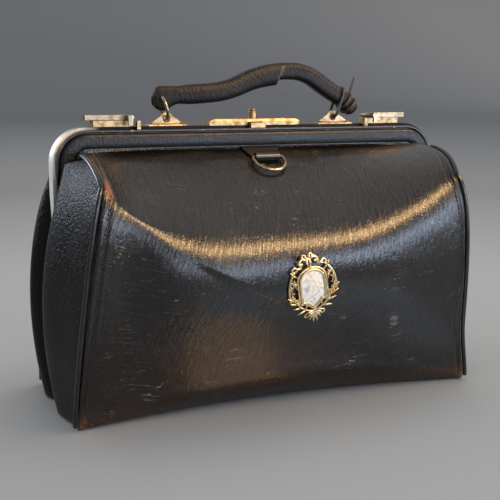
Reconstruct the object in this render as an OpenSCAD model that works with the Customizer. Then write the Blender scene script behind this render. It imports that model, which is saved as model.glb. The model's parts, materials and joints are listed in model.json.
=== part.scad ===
// Antique doctor's bag: two hinged steel jaws carry a soft black leather body with folded gussets.
// Frame: X along the length, -Y to the front, +Z up, origin on the floor under the middle of the base.

/* [Leather body] */
// Length of the base and the jaws along X
base_length = 360; // [320:1:420]
// Depth of the base along Y
base_depth = 138; // [120:1:180]
// Thickness of the leather
leather = 2; // [1.5:0.1:2.4]
// Distance of the shoulder in front of the frame at the end seams
shoulder_depth = 86; // [78:1:100]
// Height of the shoulder at the end seams
shoulder_height = 192; // [180:1:200]
// Distance of the shoulder in front of the frame in the sagging middle
belly_depth = 94; // [88:1:110]
// Height of the shoulder in the sagging middle
belly_height = 150; // [135:1:170]
// Inset of the end seams at the shoulder from the ends of the base
shoulder_inset = 21; // [15:1:30]
// Sharpness of the sag towards the left seam
sag_left = 5; // [2:0.5:8]
// Sharpness of the sag towards the right seam
sag_right = 2; // [1.5:0.5:8]
// Rounding of the lower edge at the seams
edge_radius_end = 5; // [4:1:10]
// Rounding of the lower edge in the middle
edge_radius_mid = 35; // [20:1:45]
// Radius of the piping along the end seams
welt_radius = 2; // [1.5:0.1:3]
// Thickness of the lining
lining_thickness = 0.8; // [0.5:0.1:1.5]
// Thickness of the stiffening board on the base
board_thickness = 2.5; // [2:0.5:4]

/* [Gussets] */
// Inset of the gusset ridge at its top from the ends of the base
ridge_inset = 13; // [5:1:16]
// Bulge of the gusset ridge beyond its top
ridge_bulge = 30; // [15:1:40]
// Height at which the ridge bulges most
ridge_height = 85; // [70:1:110]
// Inset of the fold between the lobes, beside the jaw legs, from the ends of the jaws
valley_inset = 23; // [22:1:30]
// Reach of the fold at the floor beyond the ends of the base
valley_reach = 1; // [-10:1:4]

/* [Jaws] */
// Height of the jaws above the floor
frame_height = 234; // [228:1:240]
// Height of the hinge axis
hinge_height = 137; // [125:1:145]
// Thickness of the metal strip
strip = 2; // [1.6:0.1:2.2]
// Depth of the nickel rim of the rear jaw
rear_rim = 15; // [14:0.5:18]
// Depth of the rim of the front jaw
front_rim = 6; // [4:0.5:7]
// Width of the jaw flange from its outer edge inwards
flange = 17; // [16:0.5:18]
// Outer radius of the jaw corners
frame_corner = 29; // [26:1:34]
// Inset of the leather bands from the jaw edge
band_inset = 5.2; // [5:0.1:6]
// Width of the leather bands
band_width = 12; // [10:0.5:12]
// Distance of the band faces from the parting plane
band_depth = 8.5; // [7.5:0.5:8.5]
// Radius of the hinge pins
pin_radius = 2; // [1.5:0.1:2.5]
// Radius of the hinge eyes
eye_radius = 6; // [5:0.5:7]

/* [Handle] */
// Distance between the two handle mounts
mount_spacing = 160; // [140:1:180]
// Length of a handle mount's foot
mount_foot = 35; // [28:1:40]
// Half height of the padded handle
handle_half_height = 8.5; // [7:0.5:10]
// Half depth of the padded handle
handle_half_depth = 7; // [5:0.5:7]
// Highest point of the handle's centre line above the jaws
handle_rise = 45; // [35:1:60]
// Wire radius of the handle ring
ring_wire = 1.4; // [1:0.1:1.6]
// Centre radius of the handle ring
ring_radius = 10; // [9:0.5:12]

/* [Lock and catches] */
// Length of the lock case
lock_length = 86; // [70:1:100]
// Height of the lock case
lock_height = 5.5; // [5:0.1:7]
// Radius of the push button
button_radius = 4; // [3:0.1:4.5]
// Height of the push button above the lock case
button_height = 9; // [6:0.5:12]
// Travel of the push button
button_travel = 2; // [1:0.1:2.2]
// Distance between the middles of the two sliding catches
catch_spacing = 256; // [240:1:262]
// Length of a catch base
catch_base_length = 35; // [30:1:40]
// Height of a catch base
catch_base_height = 5.5; // [5:0.1:7]
// Length of a catch slide
catch_slide_length = 38; // [34:1:44]
// Height of a catch slide
catch_slide_height = 4.2; // [3:0.1:6]
// Travel of a catch slide
catch_travel = 8; // [6:0.5:8]
// Reach of a released slide beyond its base
slide_overhang = 6.5; // [4:0.5:8]

/* [Ring tab] */
// Width of the leather tab where it comes out under the band
tab_width = 36; // [30:1:44]
// Width of the leather tab at the ring
tab_end_width = 22; // [16:1:24]
// Length of the leather tab
tab_length = 19; // [16:1:20]
// Inner width of the dee ring
dee_width = 25; // [24.5:0.5:30]
// Wire radius of the dee ring
dee_wire = 1.5; // [1:0.1:1.6]

/* [Brooch] */
// Width of the brooch
brooch_width = 44; // [36:1:54]
// Height of the brooch
brooch_height = 64; // [54:1:74]
// Position of the brooch to the right of the middle
brooch_x = 6; // [-30:1:30]
// Tilt of the brooch
brooch_tilt = 5; // [-10:1:10]
// Number of leaves in each half of the wreath
brooch_leaves = 9; // [6:1:10]

/* [Hidden] */
$fn = 48;

// Colours
black_leather = "#15120f";
band_leather = "#1d2024";
nickel = "#c9c8c2";
black_steel = "#161616";
brass = "#c8a763";
pearl = "#e9e6da";
cloth = "#4a3a2c";
board = "#6a543c";

// Clearances: seat keeps soft pieces apart, running keeps sliding pieces apart, pin is the hinge fit
seat = 0.3;
running = 0.25;
seam_seat = 0.8;
pin_play = 0.05;
parting = 0.2;
through = 1;

// Places that follow from the sizes above
base_half = base_depth / 2;
frame_length = base_length;
shoulder_half_length = base_length / 2 - shoulder_inset;
ridge_top = base_length / 2 - ridge_inset;
valley_half_length = frame_length / 2 - valley_inset;
valley_base = base_length / 2 + valley_reach;
web_face = strip;
front_inset = strip + parting;
tuck_depth = web_face + seat + leather + 0.4;
band_back = tuck_depth + seat;
band_bottom = frame_height - band_inset - band_width;
tuck_height = 7;
leg_clear = hinge_height + eye_radius + 3;
front_groove = band_depth + 0.8;
rear_groove = rear_rim + 1.3;
panel_top_half = valley_half_length + 4;
shoulder_run = [24, 44];
slope_run = 16;
end_dip = 48;
belly_dip = 52;
end_pull = [24, 17];
belly_pull = [34, -17];
band_inner_half = frame_length / 2 - band_inset - band_width;
band_inner_corner = max(frame_corner - band_inset - band_width, 1);
axle_depth = rear_rim / 2;

// Small helpers
function mix(a, b, t) = a + (b - a) * t;
function clamp(x, low, high) = min(max(x, low), high);
function unit(a) = a / norm(a);
function bezier(p, t) = pow(1 - t, 3) * p[0] + 3 * pow(1 - t, 2) * t * p[1]
                      + 3 * (1 - t) * t * t * p[2] + pow(t, 3) * p[3];
// Point of the quadratic spline that starts and ends on the first and last control point
function spline(c, t) =
  let(n = len(c), s = clamp(t * (n - 2), 0, n - 2.0001), k = floor(s), f = s - k,
      a = k == 0 ? c[0] : (c[k] + c[k + 1]) / 2,
      b = k == n - 3 ? c[n - 1] : (c[k + 1] + c[k + 2]) / 2)
  (1 - f) * (1 - f) * a + 2 * (1 - f) * f * c[k + 1] + f * f * b;

// Outline of a jaw, an arch that stands on its two legs
module arch(inset, foot) {
  half = frame_length / 2 - inset;
  top = frame_height - inset;
  r = max(frame_corner - inset, 1);
  intersection() {
    translate([-half, foot]) square([2 * half, top - foot]);
    union() {
      translate([-half, foot]) square([2 * half, max(top - r - foot, through)]);
      translate([r - half, foot]) square([2 * (half - r), top - foot]);
      for (side = [-1, 1]) translate([side * (half - r), top - r]) circle(r);
    }
  }
}

// Bent strip along the jaw outline, from y_front to y_back
module jaw_strip(inset, width, foot, y_front, y_back) {
  translate([0, y_back, 0]) rotate([90, 0, 0]) linear_extrude(y_back - y_front) difference() {
    arch(inset, foot);
    arch(inset + width, foot - through);
  }
}

// Disc or bore along X
module along_x(x_from, x_to, r) {
  translate([x_from, 0, 0]) rotate([0, 90, 0]) cylinder(h = x_to - x_from, r = r);
}

// Profile of the front leather
// u runs from the left seam at -1 to the right seam at 1
// v runs 0..1 round the lower edge, 1..2 up to the shoulder, 2..3 to the band and 3..4 behind the band
function sag(u) = u < 0 ? 1 - pow(-u, sag_left) : 1 - pow(u, sag_right);
function edge_radius(u) = mix(edge_radius_end, edge_radius_mid, 1 - u * u);
function shoulder(u) = [mix(shoulder_depth, belly_depth, sag(u)), mix(shoulder_height, belly_height, sag(u))];
function shoulder_dip(u) = let(a = mix(end_dip, belly_dip, sag(u))) [cos(a), -sin(a)];
// Lower edge of the band over the panel, which turns down at the jaw corners
function band_edge(x) =
  let(r = band_inner_corner, over = clamp(abs(x) - band_inner_half + r, 0, r - 0.2))
  band_bottom - r + sqrt(r * r - over * over);
function tuck_bottom(u) = band_edge(u * panel_top_half) - 2 - 3 * pow(abs(u), 6);
function half_length(v) =
  v < 1 ? base_length / 2
  : v < 2 ? base_length / 2 - (base_length / 2 - shoulder_half_length) * pow(v - 1, 1.5)
  : v < 3 ? mix(shoulder_half_length, panel_top_half, v - 2)
  : panel_top_half;
function lower_run(u) =
  let(s = shoulder(u), d = shoulder_dip(u), r = edge_radius(u), start = [base_half, r],
      run = mix(shoulder_run[0], shoulder_run[1], sag(u)))
  [start, start + [0.12 * base_half, 0.35 * (s[1] - r)], s + run * d, s];
function upper_run(u) =
  let(s = shoulder(u), d = shoulder_dip(u), end = [tuck_depth, tuck_bottom(u)])
  [s, s - slope_run * d, end + mix(end_pull, belly_pull, sag(u)), end];
function profile(u, v) =
  v < 1 ? let(r = edge_radius(u), a = 90 * v) [base_half - r + r * sin(a), r - r * cos(a)]
  : v < 2 ? bezier(lower_run(u), v - 1)
  : v < 3 ? bezier(upper_run(u), v - 2)
  : [tuck_depth, tuck_bottom(u) + (v - 3) * tuck_height];
function panel_point(u, v) = let(p = profile(u, v)) [u * half_length(v), -p[0], p[1]];
row_values = [for (r = [[0:0.25:0.9], [1:0.125:1.95], [2:0.125:2.95], [3, 4]]) for (v = r) v];
columns = 22;
panel_grid = [for (v = row_values) [for (j = [0:columns]) panel_point(mix(-1, 1, j / columns), v)]];

// Outward normal of a grid of points, row i and column j
function grid_normal(g, i, j) =
  let(n = len(g) - 1, m = len(g[0]) - 1,
      along = g[i][min(j + 1, m)] - g[i][max(j - 1, 0)],
      up = g[min(i + 1, n)][j] - g[max(i - 1, 0)][j])
  unit(cross(along, up));
function offset_grid(g, depth) =
  [for (i = [0:len(g) - 1]) [for (j = [0:len(g[0]) - 1]) g[i][j] - depth * grid_normal(g, i, j)]];

// Closed sheet between a grid of points and its copy at the given depth below
module sheet(g, depth) {
  rows = len(g);
  cols = len(g[0]);
  back = offset_grid(g, depth);
  points = concat([for (r = g) each r], [for (r = back) each r]);
  size = rows * cols;
  function at(i, j) = i * cols + j;
  skin = [for (i = [0:rows - 2], j = [0:cols - 2])
    each [[at(i, j), at(i + 1, j), at(i + 1, j + 1)], [at(i, j), at(i + 1, j + 1), at(i, j + 1)]]];
  lower = [for (f = skin) [f[2] + size, f[1] + size, f[0] + size]];
  border = concat([for (j = [0:cols - 2]) at(0, j)], [for (i = [0:rows - 2]) at(i, cols - 1)],
                  [for (j = [cols - 1:-1:1]) at(rows - 1, j)], [for (i = [rows - 1:-1:1]) at(i, 0)]);
  count = len(border);
  rim = [for (k = [0:count - 1]) let(a = border[k], b = border[(k + 1) % count])
    each [[a, b, b + size], [a, b + size, a + size]]];
  polyhedron(points, concat(skin, lower, rim));
}

module front_panel() color(black_leather) sheet(panel_grid, leather);
module back_panel() color(black_leather) mirror([0, 1, 0]) sheet(panel_grid, leather);

// Lining glued to the inside of a panel
lining_rows = [for (i = [0:len(row_values) - 1]) if (row_values[i] >= 1 && row_values[i] <= 2.8) i];
lining_back = offset_grid(panel_grid, leather + 2 * seat);
module panel_lining() {
  sheet([for (i = lining_rows) [for (j = [1:columns - 1]) lining_back[i][j]]], lining_thickness);
}
module front_lining() color(cloth) panel_lining();
module back_lining() color(cloth) mirror([0, 1, 0]) panel_lining();

// Gusset: two lobes, each from an end seam over a ridge into the groove that holds the jaw legs
gusset_columns = 30;
fold_reach = [1.5, 14];
gusset_values = [for (v = row_values) if (v <= 2.8) v];
gusset_top = gusset_values[len(gusset_values) - 1];
function ridge(z) = ridge_top + ridge_bulge * (1 - pow((z - ridge_height) / 130, 2));
function valley_z(v, z) = v <= 2 ? z * hinge_height / shoulder_height
                                 : mix(hinge_height, tuck_bottom(1) - 4, (v - 2) / (gusset_top - 2));
function valley_x(z) = mix(valley_half_length, valley_base, pow(clamp(1 - z / (hinge_height - 15), 0, 1), 1.3));
function seam_point(v) = let(p = profile(1, v), q = profile(1, v + 0.02), d = unit(q - p))
  p + (leather + seam_seat) * [-d[1], d[0]];
function lobe(v, groove) =
  let(s = seam_point(v), x = half_length(v), zv = valley_z(v, s[1]), zr = mix(s[1], zv, 0.5),
      g = min(groove, max(front_groove, 0.5 * s[0])),
      yr = g + clamp(0.25 * (s[0] - g), fold_reach[0], fold_reach[1]),
      xr = ridge(zr), xv = valley_x(zv))
  [[x, s[0], s[1]],
   [mix(x, xr, 0.55) + 1, mix(s[0], yr, 0.5), mix(s[1], zr, 0.5)],
   [xr + 2, yr + 4, zr],
   [xr + 2, max(yr - 3, g), mix(zr, zv, 0.3)],
   [max(xr - 10, xv + 2), g, mix(zr, zv, 0.7)],
   [xv, g, zv],
   [xv, 0, zv]];
function flip_depth(p) = [p[0], -p[1], p[2]];
function gusset_section(v) =
  let(front = lobe(v, front_groove), back = lobe(v, rear_groove))
  concat([for (p = front) flip_depth(p)], [for (i = [len(back) - 2:-1:0]) back[i]]);
gusset_grid = [for (v = gusset_values) let(c = gusset_section(v))
  [for (j = [0:gusset_columns]) spline(c, j / gusset_columns)]];
module right_gusset() color(black_leather) sheet(gusset_grid, leather);
module left_gusset() color(black_leather) mirror([1, 0, 0]) sheet(gusset_grid, leather);

// Piping along an end seam, an eight sided tube
welt_sides = 8;
welt_values = [for (v = row_values) if (v >= 1 && v <= 2.65) v];
function welt_centre(v) = let(p = profile(1, v)) [half_length(v) + welt_radius + 2 * seat, -p[0], p[1]];
module tube(path, radius) {
  count = len(path);
  function heading(i) = unit(path[min(i + 1, count - 1)] - path[max(i - 1, 0)]);
  rings = [for (i = [0:count - 1]) let(h = heading(i), a = unit(cross(h, [1, 0, 0])), b = cross(a, h))
    [for (k = [0:welt_sides - 1]) let(q = 360 * k / welt_sides) path[i] + radius * (cos(q) * a + sin(q) * b)]];
  points = [for (r = rings) each r];
  walls = [for (i = [0:count - 2], k = [0:welt_sides - 1])
    let(n = (k + 1) % welt_sides, p = i * welt_sides)
    each [[p + k, p + n, p + n + welt_sides], [p + k, p + n + welt_sides, p + k + welt_sides]]];
  first = [for (k = [welt_sides - 1:-1:0]) k];
  last = [for (k = [0:welt_sides - 1]) (count - 1) * welt_sides + k];
  polyhedron(points, concat(walls, [first, last]));
}
module welt() color(black_leather) tube([for (v = welt_values) welt_centre(v)], welt_radius);
module front_right_welt() welt();
module front_left_welt() mirror([1, 0, 0]) welt();
module back_right_welt() mirror([0, 1, 0]) welt();
module back_left_welt() mirror([1, 0, 0]) mirror([0, 1, 0]) welt();

// Base: the outline fits between the lower edges of the panels and the gussets
function base_outline(inset) =
  let(front = [for (j = [1:columns - 1]) let(u = mix(-1, 1, j / columns))
        [u * base_length / 2, edge_radius(u) + inset - base_half]],
      end = [for (j = [3:gusset_columns - 3]) let(p = gusset_grid[0][j]) [p[0] - leather - inset - 0.5, p[1]]])
  concat(front, end, [for (i = [len(front) - 1:-1:0]) [front[i][0], -front[i][1]]],
         [for (i = [len(end) - 1:-1:0]) [-end[i][0], end[i][1]]]);
board_inset = 12;
module bottom_panel() color(black_leather) linear_extrude(leather) polygon(base_outline(seam_seat));
module base_board() color(board) translate([0, 0, leather]) linear_extrude(board_thickness)
  polygon(base_outline(board_inset));

// Jaws: bent strips whose legs taper to eyes for the hinge pins
leg_foot = hinge_height - eye_radius / 2;
leg_taper = 45;
// Cut behind a leg, from the edge of the eye out to the full depth of the rim
module leg_cut(depth) {
  foot_depth = min(0.7 * eye_radius, depth);
  rotate([90, 0, 90]) translate([0, 0, -frame_length]) linear_extrude(2 * frame_length)
    polygon([[foot_depth, leg_foot - through], [depth + through, leg_foot - through],
             [depth + through, leg_foot + leg_taper], [depth, leg_foot + leg_taper], [foot_depth, leg_foot]]);
}
module hinge_eyes(x_outer) {
  for (side = [-1, 1]) translate([0, 0, hinge_height])
    along_x(side > 0 ? x_outer - strip : -x_outer, side > 0 ? x_outer : strip - x_outer, eye_radius);
}
module hinge_bore() {
  translate([0, 0, hinge_height]) along_x(-frame_length, frame_length, pin_radius + pin_play);
}
module button_bore() {
  translate([0, axle_depth, frame_height - 2 * strip])
    cylinder(h = 4 * strip, r = button_radius / 2 + running);
}
module rear_frame() color(nickel) difference() {
  union() {
    difference() {
      jaw_strip(0, strip, leg_foot, 0, rear_rim);
      leg_cut(rear_rim);
    }
    jaw_strip(0, flange, leg_clear, 0, strip);
    hinge_eyes(frame_length / 2);
  }
  hinge_bore();
  button_bore();
}
module front_frame() color(black_steel) difference() {
  union() {
    difference() {
      jaw_strip(front_inset, strip, leg_foot, -front_rim, -parting);
      mirror([0, 1, 0]) leg_cut(front_rim);
    }
    jaw_strip(front_inset, flange - front_inset, leg_clear, -strip, -parting);
    hinge_eyes(frame_length / 2 - front_inset);
  }
  hinge_bore();
}

// Leather bands: glued to the flange along their outer part, over the panel edge along their inner part
module band() {
  jaw_strip(band_inset, band_width / 3, leg_clear, -band_depth, -strip);
  jaw_strip(band_inset, band_width, leg_clear, -band_depth, -band_back);
}
module front_frame_cover() color(band_leather) band();
module rear_frame_cover() color(band_leather) mirror([0, 1, 0]) band();

// Hinge pins with a head at each end
module hinge_pin() {
  inner = frame_length / 2 - front_inset - strip;
  outer = frame_length / 2;
  head = 1.2;
  color(black_steel) translate([0, 0, hinge_height]) union() {
    along_x(inner - parting - head, outer + parting + head, pin_radius);
    along_x(inner - parting - head, inner - parting, 1.7 * pin_radius);
    along_x(outer + parting, outer + parting + head, 1.7 * pin_radius);
  }
}
module right_hinge_pin() hinge_pin();
module left_hinge_pin() mirror([1, 0, 0]) hinge_pin();

// Handle mounts: a foot on the rear rim with a rounded eye plate
mount_plate = 2;
mount_foot_height = 2;
mount_bevel = 0.8;
mount_hole = ring_wire + 0.6;
mount_flare = mount_hole + 1.2;
mount_hole_z = frame_height + mount_foot_height + mount_flare + 0.8;
mount_eye = mount_flare + 2.8;
mount_foot_depth = rear_rim - 3;
module handle_mount() {
  color(brass) difference() {
    union() {
      translate([0, axle_depth, frame_height])
        bevelled([mount_foot, mount_foot_depth], mount_foot_height, [mount_bevel, mount_bevel], mount_bevel);
      translate([0, axle_depth + mount_plate / 2, 0]) rotate([90, 0, 0]) linear_extrude(mount_plate) union() {
        translate([0, mount_hole_z]) circle(mount_eye);
        polygon([[-mount_foot / 2 + 1, frame_height + 1], [mount_foot / 2 - 1, frame_height + 1],
                 [mount_eye * 0.8, mount_hole_z + mount_eye * 0.55],
                 [-mount_eye * 0.8, mount_hole_z + mount_eye * 0.55]]);
      }
    }
    translate([0, axle_depth, mount_hole_z]) rotate([90, 0, 0]) {
      cylinder(h = 2 * mount_plate, r = mount_hole, center = true);
      for (face = [0, 1]) mirror([0, 0, face]) cylinder(h = mount_plate / 2, r1 = mount_hole, r2 = mount_flare);
    }
  }
}
module left_handle_mount() translate([-mount_spacing / 2, 0, 0]) handle_mount();
module right_handle_mount() translate([mount_spacing / 2, 0, 0]) handle_mount();

// Handle: a padded leather roll with a flat left end, drawn along a hand chosen centre line
ring_lean = 14;
ring_top = [-mount_spacing / 2 - 2 * ring_radius * sin(ring_lean),
            mount_hole_z + 2 * ring_radius * cos(ring_lean)];
handle_peak = frame_height + handle_rise;
mount_half = mount_spacing / 2;
handle_end = mount_half + 2.15 * ring_radius;
handle_line = [
  ring_top + ring_radius * [-0.8, -0.2],
  ring_top + ring_radius * [0.4, 0.05],
  ring_top + ring_radius * [3, 0.15],
  [-0.3 * mount_half, mix(ring_top[1], handle_peak, 0.2)],
  [0.025 * mount_half, mix(ring_top[1], handle_peak, 0.85)],
  [0.375 * mount_half, handle_peak + 0.2 * ring_radius],
  [0.65 * mount_half, handle_peak],
  [0.9 * mount_half, mix(ring_top[1], handle_peak, 0.35)],
  [handle_end - 0.1 * mount_half, ring_top[1] - 0.5 * ring_radius],
  [handle_end, ring_top[1] - 1.5 * ring_radius]
];
// Place along the handle where its padded cover has torn off, and the height that is left behind it
handle_tear = 0.545;
torn_share = 0.9;
handle_sides = 14;
handle_stations = 32;
function handle_point(t) = let(p = spline(handle_line, t)) [p[0], axle_depth, p[1]];
function handle_size(t) =
  let(left = clamp(t / 0.22, 0, 1), right = clamp((1 - t) / 0.25, 0, 1), tip = min(t, 1 - t) < 0.001 ? 0.8 : 1)
  tip * (t < handle_tear ? 1 : torn_share)
  * [mix(2.6, handle_half_depth, left) * mix(0.85, 1, right), handle_half_height * mix(0.8, 1, right)];
module handle() {
  rings = [for (i = [0:handle_stations])
    let(t = i / handle_stations, p = handle_point(t), s = handle_size(t),
        h = unit(handle_point(min(t + 0.01, 1)) - handle_point(max(t - 0.01, 0))), up = cross(h, [0, 1, 0]))
    [for (k = [0:handle_sides - 1]) let(q = 360 * k / handle_sides)
      p + s[0] * cos(q) * [0, 1, 0] - s[1] * sin(q) * up]];
  points = [for (r = rings) each r];
  walls = [for (i = [0:handle_stations - 1], k = [0:handle_sides - 1])
    let(n = (k + 1) % handle_sides, p = i * handle_sides)
    each [[p + k, p + n, p + n + handle_sides], [p + k, p + n + handle_sides, p + k + handle_sides]]];
  first = [for (k = [handle_sides - 1:-1:0]) k];
  last = [for (k = [0:handle_sides - 1]) handle_stations * handle_sides + k];
  color(black_leather) difference() {
    polyhedron(points, concat(walls, [first, last]));
    translate([ring_top[0], axle_depth + 2 * handle_half_depth, ring_top[1]]) rotate([90, 0, 0])
      cylinder(h = 4 * handle_half_depth, r = ring_wire + 0.9);
  }
}

// Wire ring through the left mount and the handle's left end
module handle_ring() {
  color(brass) translate([-mount_spacing / 2, axle_depth, mount_hole_z]) rotate([0, -ring_lean, 0])
    translate([0, 0, ring_radius]) rotate([0, 90, 0])
      rotate_extrude() translate([ring_radius, 0]) circle(ring_wire, $fn = 24);
}

// Leather lace: a long loop through the right mount and over the handle, two turns round its end and a tail
lace_radius = ring_wire;
lace_reach_t = 0.895;
lace_half_depth = handle_size(lace_reach_t)[0] + lace_radius + seat;
lace_over = handle_point(lace_reach_t);
lace_hole = [mount_spacing / 2, axle_depth, mount_hole_z];
lace_lean = atan2(lace_over[0] - lace_hole[0], lace_over[2] - lace_hole[2]);
lace_length = norm(lace_over - lace_hole) + handle_size(lace_reach_t)[1] + lace_radius + 3 * seat;
module half_ring(r) rotate_extrude(angle = 180) translate([r, 0]) circle(lace_radius, $fn = 24);
module lace_loop() {
  straight = lace_length - 2 * lace_half_depth;
  translate(lace_hole) rotate([0, lace_lean, 0]) rotate([90, 0, 90]) {
    translate([0, lace_half_depth, 0]) rotate([0, 0, 180]) half_ring(lace_half_depth);
    translate([0, lace_half_depth + straight, 0]) half_ring(lace_half_depth);
    for (side = [-1, 1]) translate([side * lace_half_depth, lace_half_depth, 0]) rotate([-90, 0, 0])
      cylinder(h = straight, r = lace_radius, $fn = 24);
  }
}
module lace_turn(t) {
  p = handle_point(t);
  q = handle_point(t + 0.01);
  translate(p) rotate([0, 90 - atan2(q[2] - p[2], q[0] - p[0]), 0])
    rotate_extrude() translate([handle_size(t)[1] + lace_radius + seat, 0]) circle(lace_radius, $fn = 24);
}
lace_turns = [0.93, 0.96];
lace_tail = 16;
// Tail that stands up from the first turn
module lace_end(t) {
  p = handle_point(t);
  h = unit(handle_point(t + 0.01) - p);
  translate(p + (handle_size(t)[1] + lace_radius + seat) * [-h[2], 0, h[0]]) rotate([0, lace_lean, 0])
    cylinder(h = lace_tail, r1 = lace_radius, r2 = 0.7 * lace_radius, $fn = 24);
}
module handle_lace() {
  color(black_leather) {
    lace_loop();
    for (t = lace_turns) lace_turn(t);
    lace_end(lace_turns[0]);
  }
}

// Block on the rim whose top is bevelled on all four sides
module bevelled(size, height, run, bevel) {
  hull() {
    translate([-size[0] / 2, -size[1] / 2, 0]) cube([size[0], size[1], height - bevel]);
    translate([run[0] - size[0] / 2, run[1] - size[1] / 2, 0])
      cube([size[0] - 2 * run[0], size[1] - 2 * run[1], height]);
  }
}

// Lock: a bevelled hollow case on the rear rim with a sprung push button
lock_depth = rear_rim - 1;
lock_wall = 1.2;
lock_bevel = 2;
cavity_half = 11;
collar_radius = button_radius + 1.4;
collar_height = 1.2;
button_cap = 2.6;
button_neck = button_radius - 1;
lock_top = frame_height + lock_height;
spring_top = lock_top - lock_wall - collar_height;
module lock_case() {
  color(brass) difference() {
    translate([0, axle_depth, frame_height])
      bevelled([lock_length, lock_depth], lock_height, [2 * lock_bevel, lock_bevel / 2], lock_bevel);
    translate([-cavity_half, axle_depth - lock_depth / 2 + lock_wall, frame_height - through])
      cube([2 * cavity_half, lock_depth - 2 * lock_wall, lock_height - lock_wall + through]);
    translate([0, axle_depth, frame_height]) cylinder(h = 2 * lock_height, r = button_radius + running);
    translate([-tongue_half - running, -through, frame_height - through])
      cube([2 * (tongue_half + running), lock_wall + 2 * through + 1, tongue_height + through + 2 * running]);
  }
}
module lock_button() {
  color(brass) translate([0, axle_depth, 0]) union() {
    translate([0, 0, spring_top]) cylinder(h = collar_height, r = collar_radius);
    translate([0, 0, spring_top])
      cylinder(h = lock_top + button_height - button_cap - spring_top, r = button_radius);
    translate([0, 0, lock_top + button_height - button_cap]) rotate_extrude() polygon([
      [0, 0], [button_neck, 0], [button_neck, 0.4 * button_cap], [button_radius - 0.3, 0.55 * button_cap],
      [button_radius - 0.3, 0.8 * button_cap], [button_neck, button_cap], [0, button_cap]]);
    translate([0, 0, frame_height - strip])
      cylinder(h = spring_top - frame_height + strip, r = button_radius / 2);
  }
}
// Two dished washers, back to back
module lock_spring() {
  rise = (spring_top - frame_height) / 2;
  sheet_metal = (spring_top - frame_height - button_travel - seat) / 2;
  bore = button_radius / 2 + running;
  module dish() rotate_extrude() polygon([[bore, rise - sheet_metal], [bore, rise], [bore + 0.6, rise],
    [collar_radius, sheet_metal], [collar_radius, 0], [collar_radius - 0.6, 0]]);
  color(nickel) translate([0, axle_depth, frame_height]) union() {
    dish();
    translate([0, 0, 2 * rise]) mirror([0, 0, 1]) dish();
  }
}
tongue_half = 7;
tongue_height = 2.4;
module lock_tongue() {
  front_top = frame_height - front_inset;
  color(brass) union() {
    translate([-tongue_half, -front_rim, front_top])
      cube([2 * tongue_half, front_rim - parting, frame_height + parting - front_top]);
    translate([-tongue_half, -front_rim, frame_height + parting])
      cube([2 * tongue_half, front_rim + lock_wall + seat, tongue_height - parting]);
  }
}

// Sliding catches, drawn for the right side: a slotted base, and a slide with a foot in the slot
catch_x = catch_spacing / 2;
catch_depth = rear_rim - 1;
slot_half = 3;
slot_foot_half = 4.5;
slot_lip = 1.6;
slide_foot = 1.6;
slide_stem_length = 16;
catch_top = frame_height + catch_base_height;
finger_length = 4;
roll_radius = catch_slide_height / 2;
finger_drop = 4.5;
post_width = 3.5;
slide_front = -front_rim - 3.4;
module catch_base() {
  slot_length = slide_stem_length + catch_travel + 2 * running;
  slot_start = -slot_length / 2;
  color(brass) translate([catch_x, axle_depth, frame_height]) difference() {
    translate([-catch_base_length / 2, -catch_depth / 2, 0])
      cube([catch_base_length, catch_depth, catch_base_height]);
    translate([slot_start, -slot_half - running, -through])
      cube([slot_length, 2 * (slot_half + running), catch_base_height + 2 * through]);
    translate([slot_start, -slot_foot_half - running, -through])
      cube([slot_length, 2 * (slot_foot_half + running), catch_base_height - slot_lip + through]);
  }
}
module catch_slide() {
  stem_end = catch_x + slide_stem_length / 2 + catch_travel / 2;
  plate_end = catch_x + catch_base_length / 2 + slide_overhang;
  plate_start = plate_end - catch_slide_length;
  plate_z = catch_top + running;
  foot_z = catch_top - slot_lip - running - slide_foot;
  color(brass) union() {
    translate([plate_start, axle_depth - catch_depth / 2, plate_z])
      cube([catch_slide_length, catch_depth, catch_slide_height]);
    translate([stem_end - slide_stem_length, axle_depth - slot_half, foot_z])
      cube([slide_stem_length, 2 * slot_half, plate_z - foot_z + 1]);
    translate([stem_end - slide_stem_length, axle_depth - slot_foot_half, foot_z])
      cube([slide_stem_length, 2 * slot_foot_half, slide_foot]);
    translate([plate_start, slide_front, plate_z])
      cube([finger_length, axle_depth - slide_front, catch_slide_height]);
    translate([plate_start + roll_radius / 2, axle_depth + catch_depth / 2, plate_z + catch_slide_height / 2])
      rotate([90, 0, 0]) cylinder(h = catch_depth / 2 + axle_depth - slide_front, r = roll_radius);
    translate([plate_start, slide_front, plate_z - finger_drop]) cube([finger_length, 2.4, finger_drop + 1]);
  }
}
module catch_post() {
  plate_start = catch_x + catch_base_length / 2 + slide_overhang - catch_slide_length;
  front_top = frame_height - front_inset;
  post_start = plate_start - catch_travel + (finger_length - post_width) / 2;
  color(brass) translate([post_start, -front_rim, front_top])
    cube([post_width, front_rim - parting - 1, catch_top - running - front_top]);
}
module right_catch_base() catch_base();
module left_catch_base() mirror([1, 0, 0]) catch_base();
module right_catch_slide() catch_slide();
module left_catch_slide() mirror([1, 0, 0]) catch_slide();
module right_catch_post() catch_post();
module left_catch_post() mirror([1, 0, 0]) catch_post();

// Domed rivet heads on the feet of the mounts and beside the lock cavity
rivet_radius = 1.8;
rivet_height = 1;
mount_rivet_x = mount_foot / 2 - 4;
mount_rivet_y = axle_depth - mount_foot_depth / 2 + mount_bevel + rivet_radius + seat;
module rivet() {
  rotate_extrude() intersection() {
    translate([0, rivet_height - 2.2 * rivet_radius]) circle(2.2 * rivet_radius);
    square([rivet_radius, rivet_height]);
  }
}
module hardware_rivets() {
  color(brass) for (side = [-1, 1]) {
    translate([side * 0.34 * lock_length, axle_depth, lock_top]) rivet();
    for (end = [-1, 1])
      translate([side * mount_half + end * mount_rivet_x, mount_rivet_y, frame_height + mount_foot_height]) rivet();
  }
}

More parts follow.
